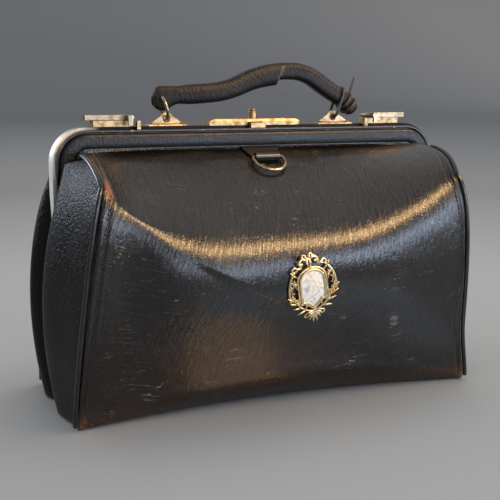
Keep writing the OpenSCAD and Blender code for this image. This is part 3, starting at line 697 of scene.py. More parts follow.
@dataclass(frozen=True)
class WovenCloth:
    """Brown cotton twill: slanting ribs of dull thread."""

    name: str = "lining_twill"
    warp: str = "#55412f"
    weft: str = "#35281d"
    rib: float = 1.2
    rib_angle: float = 55.0
    stain: float = 30.0
    relief: float = 0.2

    def build(self) -> bpy.types.Material:
        """Builds the material.

        Returns:
            The material.
        """
        material, tree = new_material(self.name)
        hide = add(tree, "ShaderNodeUVMap", uv_map=GRAIN_MAP).outputs[0]
        turned = add(tree, "ShaderNodeMapping", {0: hide, "Rotation": (0, 0, math.radians(self.rib_angle))})
        ribs = add(tree, "ShaderNodeTexWave", {
            "Vector": turned.outputs[0], "Scale": 0.31 / (self.rib * MM), "Distortion": 0.6, "Detail": 2.0})
        dirt = add(tree, "ShaderNodeTexNoise", {"Vector": hide, "Scale": 1 / (self.stain * MM), "Detail": 4.0})
        share = add(tree, "ShaderNodeMath", {0: ribs.outputs["Fac"], 1: dirt.outputs[0]}, operation="MULTIPLY")
        colour = add(tree, "ShaderNodeMix", {
            0: share.outputs[0], 6: linear(self.weft), 7: linear(self.warp)}, data_type="RGBA")
        relief = add(tree, "ShaderNodeBump", {
            "Strength": 0.7, "Distance": self.relief * MM, "Height": ribs.outputs["Fac"]})
        shade(tree, Base_Color=colour.outputs[2], Roughness=0.9, Normal=relief.outputs[0], Sheen_Weight=0.2)
        return material


@dataclass(frozen=True)
class MillBoard:
    """Pressed fibre board: mottled brown, dull and slightly rough."""

    name: str = "mill_board"
    dark: str = "#4a3926"
    pale: str = "#7d6648"
    fibre: float = 4.0
    relief: float = 0.2

    def build(self) -> bpy.types.Material:
        """Builds the material.

        Returns:
            The material.
        """
        material, tree = new_material(self.name)
        place = add(tree, "ShaderNodeTexCoord").outputs["Object"]
        fibre = add(tree, "ShaderNodeTexNoise", {
            "Vector": place, "Scale": 1 / (self.fibre * MM), "Detail": 8.0, "Roughness": 0.7})
        colour = add(tree, "ShaderNodeMix", {
            0: fibre.outputs[0], 6: linear(self.dark), 7: linear(self.pale)}, data_type="RGBA")
        relief = add(tree, "ShaderNodeBump", {
            "Strength": 0.5, "Distance": self.relief * MM, "Height": fibre.outputs[0]})
        shade(tree, Base_Color=colour.outputs[2], Roughness=0.85, Normal=relief.outputs[0])
        return material


class Finishes:
    """All materials of the bag."""

    def __init__(self) -> None:
        """Builds each finish once."""
        self.front = GrainedLeather("straight_grain_cowhide", scratches=0.55).build()
        self.side = GrainedLeather("pebbled_cowhide", line=2.2, line_length=3.4, pebble=1.8, line_share=0.5,
                                   gloss=(0.24, 0.34), shine=0.17, coat=0.0).build()
        self.edge = GrainedLeather("turned_cowhide", line=3.0, line_length=3.0, relief=0.1,
                                   gloss=(0.25, 0.4)).build()
        self.band = GrainedLeather("band_calf", dye="#090a0c", bloom="#15181d", line=2.4, line_length=3.6,
                                   relief=0.2, gloss=(0.28, 0.42), shine=0.3, coat=0.05).build()
        self.strap = GrainedLeather("handle_cowhide", dye="#050505", bloom="#0c0b0a", bare="#4d3d33",
                                    fade="#191513", line_length=9.0, relief=0.25, gloss=(0.4, 0.55),
                                    shine=0.25, coat=0.0).build()
        self.lace = GrainedLeather("lashing_thong", dye="#1a1512", bloom="#3d332b", line=1.0, line_length=6.0,
                                   relief=0.1, gloss=(0.4, 0.55), coat=0.0).build()
        self.pale_thread = GrainedLeather("pale_thread", dye="#3a352e", bloom="#645c50", line=0.6,
                                          line_length=0.6, relief=0.05, gloss=(0.5, 0.6), coat=0.0).build()
        self.nickel = AgedMetal("worn_nickel", "#e2dfd6", "#b4afa3", gloss=(0.3, 0.5), patch=18).build()
        # rear rim: bright nickel only at its left end, where light falls on it, and painted shade in black along
        # the rest
        self.rim = AgedMetal("worn_rim_nickel", "#efece3", "#c4beb1", gloss=(0.45, 0.65), patch=18,
                             black=(-172, -140)).build()
        self.brass = AgedMetal("aged_brass", "#a28b68", "#614e32", gloss=(0.34, 0.52), patch=5.0).build()
        self.rubbed = AgedMetal("rubbed_brass", "#958870", "#6a5b40", gloss=(0.28, 0.45), patch=9.0).build()
        self.gilt = AgedMetal("gilt_metal", "#dcc497", "#7a6038", gloss=(0.26, 0.45), patch=3.0,
                              spread=(0.5, 0.8)).build()
        self.wire = AgedMetal("worn_steel_wire", "#b9a58c", "#5a463a", patch=4.0).build()
        self.steel = JapannedSteel().build()
        self.pearl = MotherOfPearl().build()
        self.cloth = WovenCloth().build()
        self.board = MillBoard().build()
        self.thread = GrainedLeather("waxed_thread", dye="#171512", bloom="#2c2823", line=0.6, line_length=0.6,
                                     relief=0.05, gloss=(0.4, 0.55), coat=0.0).build()


@dataclass
class LeatherShape:
    """Rule of the leather body's profile, with its sizes in millimetres.

    A pair of sizes is depth and height for the shoulders, and else the size at an end and at the middle.
    """

    base_half_length: float = 180.0
    base_half: float = 69.0
    leather: float = 2.0
    end_shoulder: tuple[float, float] = (86.0, 192.0)
    belly: tuple[float, float] = (94.0, 150.0)
    shoulder_half_length: float = 159.0
    top_half_length: float = 161.0
    sag_left: float = 5.0
    sag_right: float = 2.0
    edge_rounding: tuple[float, float] = (5.0, 35.0)
    dip_angle: tuple[float, float] = (48.0, 52.0)
    tuck_depth: float = 4.7
    tuck_height: float = 7.0
    tuck_gap: float = 2.0
    tuck_drop: float = 3.0
    band_bottom: float = 216.8
    band_half: float = 162.8
    band_corner: float = 11.8
    crease: float = 0.0
    crease_place: float = -0.84
    crease_width: float = 0.13
    wall_lean: float = 0.12
    wall_lift: float = 0.35
    end_run: float = 24.0
    belly_run: float = 44.0
    slope_run: float = 16.0
    top_pull: tuple[float, float] = (24.0, 34.0)
    top_lift: tuple[float, float] = (17.0, -17.0)

    def sag(self, u: np.ndarray) -> np.ndarray:
        """Share of the sag at u, from the left seam at -1 to the right seam at 1."""
        return 1 - np.where(u < 0, np.abs(u) ** self.sag_left, np.abs(u) ** self.sag_right)

    def edge_radius(self, u: np.ndarray) -> np.ndarray:
        """Rounding of the lower edge."""
        return mix(*self.edge_rounding, 1 - u * u)

    def shoulder(self, u: np.ndarray) -> np.ndarray:
        """Depth and height of the shoulder."""
        return np.stack([mix(a, b, self.sag(u)) for a, b in zip(self.end_shoulder, self.belly)])

    def dip(self, u: np.ndarray) -> np.ndarray:
        """Direction in which the leather runs down over the shoulder."""
        a = np.radians(mix(*self.dip_angle, self.sag(u)))
        return np.stack([np.cos(a), -np.sin(a)])

    def tuck_bottom(self, u: np.ndarray) -> np.ndarray:
        """Height at which the leather goes behind the band.

        Args:
            u: places along the panel, from -1 to 1.

        Returns:
            Height at each place.
        """
        r = self.band_corner
        over = np.clip(np.abs(u) * self.top_half_length - self.band_half + r, 0, r - 0.2)
        edge = self.band_bottom - r + np.sqrt(r * r - over * over)
        return edge - self.tuck_gap - self.tuck_drop * np.abs(u) ** 6

    def tightness(self, u: np.ndarray) -> np.ndarray:
        """Share of the soft shoulder that is left where the leather is creased."""
        return 1 - self.crease * bump(u, self.crease_place, self.crease_width) * (1 - np.abs(u) ** 16)

    def profile(self, u: np.ndarray, v: float) -> np.ndarray:
        """Depth and height of the leather.

        Args:
            u: places along the panel, from -1 to 1.
            v: 0 to 1 round the lower edge, to 2 at the shoulder, to 3 at the band, to 4 behind it.

        Returns:
            Depth in front of the frame and height, one row each.
        """
        r = self.edge_radius(u)
        if v < 1:
            a = math.pi / 2 * v
            return np.stack([self.base_half - r + r * math.sin(a), r - r * math.cos(a)])
        s, d, tight, sag = self.shoulder(u), self.dip(u), self.tightness(u), self.sag(u)
        if v < 2:
            start = np.stack([np.full_like(u, self.base_half), r])
            lift = np.stack([np.full_like(u, self.wall_lean * self.base_half), self.wall_lift * (s[1] - r)])
            run = mix(self.end_run, self.belly_run, sag ** 0.4)
            return bezier([start, start + lift, s + run * tight * d, s], v - 1)
        end = np.stack([np.full_like(u, self.tuck_depth), self.tuck_bottom(u)])
        if v < 3:
            pull = np.stack([mix(*self.top_pull, sag), mix(*self.top_lift, sag)])
            return bezier([s, s - self.slope_run * tight * d, end + pull, end], v - 2)
        return end + np.stack([np.zeros_like(u), np.full_like(u, (v - 3) * self.tuck_height)])

    def half_length(self, v: float) -> float:
        """Half length of the panel.

        Args:
            v: place up the profile, as for the profile.

        Returns:
            Half length in millimetres.
        """
        if v < 1:
            return self.base_half_length
        if v < 2:
            return self.base_half_length - (self.base_half_length - self.shoulder_half_length) * (v - 1) ** 1.5
        return mix(self.shoulder_half_length, self.top_half_length, min(v - 2, 1))

    def panel(self, u: np.ndarray, rows: np.ndarray) -> np.ndarray:
        """Grid of the front panel.

        Args:
            u: places of the columns, from -1 to 1.
            rows: places of the rows up the profile.

        Returns:
            Points by row and column.
        """
        grid = []
        for v in rows:
            depth, height = self.profile(u, v)
            grid.append(np.stack([u * self.half_length(v), -depth, height], -1))
        return np.array(grid)

    def seam(self, v: float, inset: float) -> np.ndarray:
        """Point of the end seam's profile.

        Args:
            v: place up the profile.
            inset: distance by which the point is laid inwards.

        Returns:
            Depth and height.
        """
        here, there = (self.profile(np.array([1.0]), w)[:, 0] for w in (v, v + 0.02))
        d = unit(there - here)
        return here + inset * np.array([-d[1], d[0]])


def mirrored(grid: np.ndarray, axis: int) -> np.ndarray:
    """Mirrors a grid, with its columns turned so that the same side stays out.

    Args:
        grid: points by row and column.
        axis: axis that changes its sign.

    Returns:
        The mirror image.
    """
    image = grid.copy()
    image[..., axis] *= -1
    return image[:, ::-1]


def slump(points: np.ndarray, shift: float = 8.5) -> np.ndarray:
    """Draws in the right end of the front, where the leather has slumped.

    Args:
        points: points in millimetres.
        shift: the most that a point moves.

    Returns:
        The moved points.
    """
    x, y, z = np.moveaxis(points, -1, 0)
    drawn = shift * smooth(x, 60, 160) * smooth(-y, 5, 60) * window(z, -12, 60, 190, 213)
    return points - drawn[..., None] * np.array([1.0, 0.0, 0.0])


def panel_rows(count: tuple[int, int, int, int] = (8, 56, 46, 4)) -> np.ndarray:
    """Places of the rows up a panel, each stretch with its own count."""
    return np.concatenate([np.linspace(k, k + 1, n, endpoint=False) for k, n in enumerate(count)] + [[4.0]])


class StitchRow:
    """Row of stitches along a path, made by a node tree."""

    def __init__(self) -> None:
        """Builds the tree once, with the pitch, length and width of a stitch as its inputs."""
        tree = bpy.data.node_groups.new("stitch_row", "GeometryNodeTree")
        face = tree.interface
        face.new_socket("Path", in_out="INPUT", socket_type="NodeSocketGeometry")
        self.sockets = {name: face.new_socket(name, in_out="INPUT", socket_type="NodeSocketFloat").identifier
                        for name in ("Pitch", "Length", "Width")}
        thread = face.new_socket("Thread", in_out="INPUT", socket_type="NodeSocketMaterial")
        self.sockets["Thread"] = thread.identifier
        face.new_socket("Stitches", in_out="OUTPUT", socket_type="NodeSocketGeometry")
        ask = add(tree, "NodeGroupInput").outputs
        line = add(tree, "GeometryNodeMeshToCurve", {"Mesh": ask["Path"]})
        even = add(tree, "GeometryNodeResampleCurve", {"Curve": line.outputs[0], "Length": ask["Pitch"]},
                   mode="LENGTH")
        way = add(tree, "GeometryNodeInputTangent")
        turn = add(tree, "FunctionNodeAlignRotationToVector", {"Vector": way.outputs[0]}, axis="X")
        bead = add(tree, "GeometryNodeMeshUVSphere", {"Segments": 8, "Rings": 5, "Radius": 0.5})
        size = add(tree, "ShaderNodeCombineXYZ", {0: ask["Length"], 1: ask["Width"], 2: ask["Width"]})
        put = add(tree, "GeometryNodeInstanceOnPoints", {"Points": even.outputs[0], "Instance": bead.outputs[0],
                                                         "Rotation": turn.outputs[0], "Scale": size.outputs[0]})
        real = add(tree, "GeometryNodeRealizeInstances", {0: put.outputs[0]})
        soft = add(tree, "GeometryNodeSetShadeSmooth", {0: real.outputs[0]})
        dress = add(tree, "GeometryNodeSetMaterial", {"Geometry": soft.outputs[0], "Material": ask["Thread"]})
        add(tree, "NodeGroupOutput", {0: dress.outputs[0]})
        self.tree = tree

    def sew(self, name: str, paths: Sequence[np.ndarray], thread: bpy.types.Material, pitch: float = 3.6,
            length: float = 2.7, width: float = 0.8) -> bpy.types.Object:
        """Sews stitches along paths.

        Args:
            name: name of the piece.
            paths: points in millimetres of each path.
            thread: material of the thread.
            pitch: distance between stitches in millimetres.
            length: length of a stitch.
            width: width of a stitch.

        Returns:
            The stitches, as one object.
        """
        points, edges = [], []
        for path in paths:
            start = len(points)
            points += (np.asarray(path) * MM).tolist()
            edges += [(start + i, start + i + 1) for i in range(len(path) - 1)]
        mesh = bpy.data.meshes.new(name)
        mesh.from_pydata(points, edges, [])
        obj = new_object(name, mesh)
        sewing = obj.modifiers.new("sewing", "NODES")
        sewing.node_group = self.tree
        for key, value in (("Pitch", pitch), ("Length", length), ("Width", width)):
            sewing[self.sockets[key]] = value * MM
        sewing[self.sockets["Thread"]] = thread
        return apply_modifiers(obj)


@dataclass
class LeatherBody:
    """Front and back panels, base, linings, piping and stitching, with sizes in millimetres."""

    finishes: Finishes
    stitches: StitchRow
    front: LeatherShape = field(default_factory=lambda: LeatherShape(crease=0.62))
    plain: LeatherShape = field(default_factory=LeatherShape)
    columns: np.ndarray = field(init=False)
    seam_share: float = 0.925
    # each roll beside an end seam: height, distance from the seam, width
    seam_rolls: tuple = ((0.9, 2.2, 1.3), (-0.7, 5.4, 1.3), (0.4, 8.4, 1.6))
    fold_line: tuple = ((-120.0, 148.0), (-98.0, 136.5), (-71.0, 121.0), (-37.0, 105.5), (-12.0, 93.0),
                        (10.0, 83.0))
    fold_height: float = 2.6
    fold_fade: float = 22.0
    front_depth: float = 60.0
    tuck_height: float = 0.8
    tuck_place: float = 206.0
    full_height: float = 2.2
    full_place: float = 106.0
    full_half_length: float = 150.0
    oval_place: tuple[float, float] = (96.0, 67.0)
    oval_half: tuple[float, float] = (5.0, 9.0)
    lining_depth: float = 2.9
    lining_cloth: float = 0.7
    piping_radius: float = 2.0
    piping_gap: float = 2.6
    stitch_share: float = 0.965

    def __post_init__(self) -> None:
        """Places the columns of a panel, closer at the end seams."""
        ends = np.linspace(self.seam_share, 1, 22)
        middle = np.linspace(-self.seam_share, self.seam_share, 151)[1:-1]
        self.columns = np.concatenate([-ends[::-1], middle, ends])

    def relief(self, grid: np.ndarray) -> np.ndarray:
        """Height of the dents on a panel's outer face and of the rolls beside its seams.

        Args:
            grid: points of the plain panel.

        Returns:
            Height in millimetres by row and column.
        """
        x, z = grid[..., 0], grid[..., 2]
        soft = 0.45 * np.sin(x / 37 + 1.3) * np.sin(z / 29 + 0.4) + 0.3 * np.sin(x / 19 + z / 23)
        end = (1 - np.abs(self.columns))[None, :] * np.abs(x[:, -1:])
        roll = sum(height * bump(end, place, width) for height, place, width in self.seam_rolls)
        return soft * smooth(end, 6, 30) * window(z, 8, 30, 190, 205) + roll * window(z, 6, 16, 200, 212)

    def below_shoulder(self, grid: np.ndarray) -> np.ndarray:
        """Whether each point of a grid stands in front of the slope."""
        return grid[..., 1] < -self.front_depth

    def fold(self, grid: np.ndarray) -> np.ndarray:
        """Height of the slanting fold on the front, of the fullness round it and of the gathers under the band.

        Args:
            grid: points of the plain panel.

        Returns:
            Height in millimetres by row and column.
        """
        x, z = grid[..., 0], grid[..., 2]
        front = self.below_shoulder(grid)
        inside = self.full_half_length - np.abs(x)
        above = (z - np.interp(x, *zip(*self.fold_line))) * 0.8
        lip = smooth(above, -1.0, 1.0) * np.exp(-np.maximum(above, 0) / self.fold_fade)
        crease = self.fold_height * window(x, -108, -70, -20, 5) * lip * front
        gathers = 0.5 + 0.5 * np.sin(x / 11 + 1.7 * np.sin(x / 37))
        tuck = self.tuck_height * bump(z, self.tuck_place, 3.5) * gathers * smooth(inside, 0, 20) * ~front
        full = self.full_height * bump(z, self.full_place, 26) * smooth(inside, 0, 60) * front
        return crease + tuck + full

    def wear(self, grid: np.ndarray) -> np.ndarray:
        """Wear of a panel: rubbed lower edge and corners, a painted warm sheen low on the front, and a bare patch
        beside the left seam.

        Args:
            grid: points of the panel.

        Returns:
            Wear by row and column.
        """
        x, z = grid[..., 0], grid[..., 2]
        corner = smooth(np.abs(x), 150, 182) * smooth(-z, -26, -2) * 0.55
        lower = 0.42 * smooth(-z, -24, 0)
        # painted warm sheen: a soft brown glow low in the middle of the panel, carried by the wear so that it
        # takes the fade colour
        painted_warm_sheen = 0.3 * bump(x, -40, 80) * bump(z, 40, 26)
        patch = 1.2 * bump(x, -155, 3.5) * bump(z, 190, 9)
        return np.clip(np.maximum.reduce([corner, lower, painted_warm_sheen, patch]), 0, 1)

    def scuff(self, grid: np.ndarray) -> np.ndarray:
        """Scuffs of the front: scratches beside the left seam and a rubbed oval at the right.

        Args:
            grid: points of the panel.

        Returns:
            Scuffing by row and column, up to 1 for scratches and up to 2 in the oval.
        """
        x, z = grid[..., 0] - self.oval_place[0], grid[..., 2] - self.oval_place[1]
        across, along = (x * 0.9 + z * 0.4) / self.oval_half[0], (z * 0.9 - x * 0.4) / self.oval_half[1]
        oval = 2.0 * np.exp(-across ** 4 - along ** 4) * self.below_shoulder(grid)
        scratched = 0.6 * bump(grid[..., 0], -140, 22) * window(grid[..., 2], 15, 40, 140, 165)
        return np.maximum(scratched, oval)

    def front_face(self, rows: np.ndarray) -> np.ndarray:
        """Grid of the front panel's outer face, with its folds."""
        grid = self.front.panel(self.columns, rows)
        return slump(grid + (self.relief(grid) + self.fold(grid))[..., None] * grid_normals(grid))

    def build(self) -> None:
        """Builds and dresses every piece of the leather body."""
        rows = panel_rows()
        hide, thick = self.finishes.front, self.plain.leather
        plain = self.plain.panel(self.columns, rows)
        back = mirrored(plain + self.relief(plain)[..., None] * grid_normals(plain), 1)
        front = self.front_face(rows)
        # the wear of each panel also carries the painted warm sheen low in its middle
        front_sheet = sheet_of("front_leather", front, thick, wear=self.wear(front), scuff=self.scuff(front))
        settle(front_sheet, hide, Slot.LEATHER, Fold.SLOPE, "front_panel")
        back_sheet = sheet_of("back_leather", back, thick, wear=self.wear(back))
        settle(back_sheet, hide, Slot.LEATHER, Body.BAG, "back_panel")
        self.lining()
        self.base()
        self.piping()

    def lining(self) -> None:
        """Lines both panels with cloth."""
        rows = np.linspace(1.0, 2.78, 60)
        columns = np.linspace(-0.9, 0.9, 91)
        for name, shape, place in (("front", self.front, Fold.SLOPE), ("back", self.plain, Body.BAG)):
            grid = shape.panel(columns, rows)
            inner = grid - self.lining_depth * grid_normals(grid)
            inner = slump(inner) if name == "front" else mirrored(inner, 1)
            cloth = sheet_of(f"{name}_lining_cloth", inner, self.lining_cloth)
            settle(cloth, self.finishes.cloth, Slot.CLOTH, place, f"{name}_lining")

    def base(self) -> None:
        """Dresses the base leather and the board that stiffens it."""
        finish = self.finishes
        for name, node, look, slot in (("base_leather", "bottom_panel", finish.edge, Slot.LEATHER),
                                       ("base_mill_board", "base_board", finish.board, Slot.BOARD)):
            settle(cad_copy(name, node, 0.5), look, slot, Body.BAG, node)

    def piping(self) -> None:
        """Runs the piping up the four end seams, with a row of stitches beside it."""
        finish, shape = self.finishes, self.plain
        rows = np.concatenate([np.linspace(0.9, 1.95, 40), np.linspace(2.0, 2.7, 26)])
        seam = [shape.profile(np.array([1.0]), v)[:, 0] * (-1, 1) for v in rows]
        centre = np.array([[shape.half_length(v) + self.piping_gap, *point] for v, point in zip(rows, seam)])
        flat = shape.panel(np.array([0.0, self.stitch_share, 1.0]), rows)
        line = flat[:, 1] - 0.3 * grid_normals(flat)[:, 1]
        for end, side in (("right", 1), ("left", -1)):
            for face, depth in (("front", 1), ("back", -1)):
                turn = np.array([side, depth, 1])
                place = Fold.SLOPE if depth > 0 else Body.BAG
                rings = path_rings(slump(centre * turn), self.piping_radius, 14)
                settle(rings_of(f"{face}_{end}_piping", rings), finish.edge, Slot.LEATHER, place,
                       f"{face}_{end}_welt")
                sewn = self.stitches.sew(f"{face}_{end}_seam_stitches", [slump(line * turn)], finish.thread)
                settle(sewn, finish.thread, Slot.LEATHER, place)


@dataclass
class Gussets:
    """Folded ends of the bag: a front lobe, a back lobe and the web between them that holds the jaw legs."""

    finishes: Finishes
    shape: LeatherShape = field(default_factory=LeatherShape)
    front_groove: float = 9.3
    rear_groove: float = 16.3
    hinge_height: float = 137.0
    top: float = 2.75
    top_gap: float = 4.0
    seam_inset: float = 0.8
    ridge_foot: float = 167.0
    ridge_bulge: float = 30.0
    ridge_height: float = 85.0
    ridge_spread: float = 130.0
    valley_reach: tuple[float, float] = (157.0, 181.0)
    valley_height: float = 122.0
    web_start: int = 5
    web_end: int = 6
    last: int = 11
    smoothing: int = 220

    def ridge(self, z: float) -> float:
        """Distance of the ridge from the middle of the bag."""
        return self.ridge_foot + self.ridge_bulge * (1 - ((z - self.ridge_height) / self.ridge_spread) ** 2)

    def valley(self, v: float, z: float) -> tuple[float, float]:
        """Place of the fold between the lobes.

        Args:
            v: place up the profile.
            z: height of the seam there.

        Returns:
            Distance of the fold from the middle of the bag, and its height.
        """
        high = float(self.shape.tuck_bottom(np.array([1.0]))[0]) - self.top_gap
        height = z * self.hinge_height / self.shape.end_shoulder[1]
        if v > 2:
            height = mix(self.hinge_height, high, (v - 2) / (self.top - 2))
        share = min(max(1 - height / self.valley_height, 0), 1)
        return mix(*self.valley_reach, share ** 1.3), height

    def lobe(self, v: float, groove: float) -> np.ndarray:
        """Control points from the end seam over the ridge into the groove.

        Args:
            v: place up the profile.
            groove: depth of the groove that the jaw's leg lies in.

        Returns:
            One point a row.
        """
        depth, z = self.shape.seam(v, self.shape.leather + self.seam_inset)
        x = self.shape.half_length(v)
        xv, zv = self.valley(v, z)
        zr = mix(z, zv, 0.5)
        g = min(groove, max(self.front_groove, 0.5 * depth))
        yr = g + min(max(0.25 * (depth - g), 1.5), 14)
        xr = self.ridge(zr)
        return np.array([[x, depth, z], [mix(x, xr, 0.55) + 1, mix(depth, yr, 0.5), mix(z, zr, 0.5)],
                         [xr + 2, yr + 4, zr], [xr + 2, max(yr - 3, g), mix(zr, zv, 0.3)],
                         [max(xr - 10, xv + 2), g, mix(zr, zv, 0.7)], [xv, g, zv], [xv, 0, zv]])

    def grid(self, rows: np.ndarray, places: np.ndarray) -> np.ndarray:
        """Grid of the right gusset, smoothed up its rows but held at its seams.

        Args:
            rows: places of the rows up the profile.
            places: places of the columns along the section, from 0 at the front seam to the back one.

        Returns:
            Points by row and column.
        """
        grid = []
        for v in rows:
            front = self.lobe(v, self.front_groove) * (1, -1, 1)
            section = np.concatenate([front, self.lobe(v, self.rear_groove)[-2::-1]])
            grid.append([spline(section, p / self.last) for p in places])
        soft = np.array(grid)
        free = window(places, 0, 0.7, self.last - 0.7, self.last)[None, :, None]
        for _ in range(self.smoothing):
            soft[1:-1] += free * (0.25 * (soft[:-2] + soft[2:]) - 0.5 * soft[1:-1])
        return soft

    def build(self) -> None:
        """Builds and dresses both gussets, each in four pieces split where the jaws open."""
        every = np.concatenate([np.linspace(0, 1, 8, endpoint=False), np.linspace(1, 2, 50, endpoint=False),
                                np.linspace(2, self.top, 34)])
        web = np.linspace(self.web_start, self.web_end, 9)
        parts = (("front_lobe", every >= 0, np.linspace(0, self.web_start, 46), Fold.SLOPE),
                 ("back_lobe", every >= 0, np.linspace(self.web_end, self.last, 46), Body.BAG),
                 ("lower_web", every <= 2, web, Body.BAG), ("upper_web", every >= 2, web, Fold.WEB))
        for name, rows, places, place in parts:
            grid = self.grid(every, places)[rows]
            wear = 0.5 * smooth(-grid[..., 2], -14, 0)
            for end, shape, rub in (("right", slump(grid), wear), ("left", mirrored(grid, 0), wear[:, ::-1])):
                sheet = sheet_of(f"{end}_gusset_{name}", shape, self.shape.leather, wear=rub)
                settle(sheet, self.finishes.side, Slot.LEATHER, place, f"{end}_gusset")


@dataclass
class Jaws:
    """Two hinged steel jaws with their leather bands, with sizes in millimetres."""

    finishes: Finishes
    half_length: float = 180.0
    height: float = 234.0
    corner: float = 29.0
    leg_foot: float = 146.0
    band_inset: float = 11.2
    # section of a band: distance outwards from its middle, and depth
    band_section: tuple = ((6.0, -2.1), (6.0, -6.4), (5.4, -7.7), (4.2, -8.2), (2.0, -8.45), (-2.0, -8.45),
                           (-4.2, -8.2), (-5.4, -7.6), (-6.0, -6.6), (-5.8, -5.6), (-5.0, -5.1), (1.9, -5.1),
                           (2.1, -2.1))

    def arch(self, inset: float, across_steps: int = 60, corner_steps: int = 14,
             leg_steps: int = 20) -> tuple[np.ndarray, np.ndarray]:
        """Path along a jaw from the left leg's foot to the right one's.

        Args:
            inset: distance inside the jaw's outer edge.
            across_steps: points on half of the top.
            corner_steps: points round a corner.
            leg_steps: points down a leg.

        Returns:
            Points with x and z, and the outward direction at each.
        """
        half, top, r = self.half_length - inset, self.height - inset, max(self.corner - inset, 1)
        turn = np.linspace(np.pi / 2, 0, corner_steps)
        round_way = np.stack([np.cos(turn), np.sin(turn)], -1)
        places = np.linspace(0, half - r, across_steps, endpoint=False)
        across = np.stack([places, np.full(across_steps, top)], -1)
        leg = np.stack([np.full(leg_steps, half), np.linspace(top - r, self.leg_foot, leg_steps + 1)[1:]], -1)
        right = np.concatenate([across, (half - r, top - r) + r * round_way, leg])
        way = np.concatenate([np.tile([[0.0, 1.0]], (across_steps, 1)), round_way,
                              np.tile([[1.0, 0.0]], (leg_steps, 1))])
        return tuple(np.concatenate([rows[:0:-1] * (-1, 1), rows]) for rows in (right, way))

    def band(self) -> np.ndarray:
        """Rings of the front band: a crowned strip with a rolled lower edge."""
        path, way = self.arch(self.band_inset)
        strips = [np.insert(path + out * way, 1, depth, axis=1) for out, depth in self.band_section]
        return np.stack(strips, axis=1)

    def build(self) -> None:
        """Builds and dresses the jaws."""
        finish = self.finishes
        settle(cad_copy("rear_jaw", "rear_frame", 0.5), finish.rim, Slot.NICKEL, Body.BAG, "rear_frame")
        settle(cad_copy("front_jaw_strip", "front_frame", 0.5), finish.steel, Slot.STEEL, Body.JAW,
               "front_frame")
        for side in ("left", "right"):
            pin = f"{side}_hinge_pin"
            settle(cad_copy(f"{side}_pivot_pin", pin, 0.3), finish.steel, Slot.STEEL, Body.BAG, pin)
        band = self.band()
        settle(rings_of("front_band", band), finish.band, Slot.BAND, Body.JAW, "front_frame_cover")
        settle(rings_of("rear_band", band * (1, -1, 1)), finish.band, Slot.BAND, Body.BAG, "rear_frame_cover")


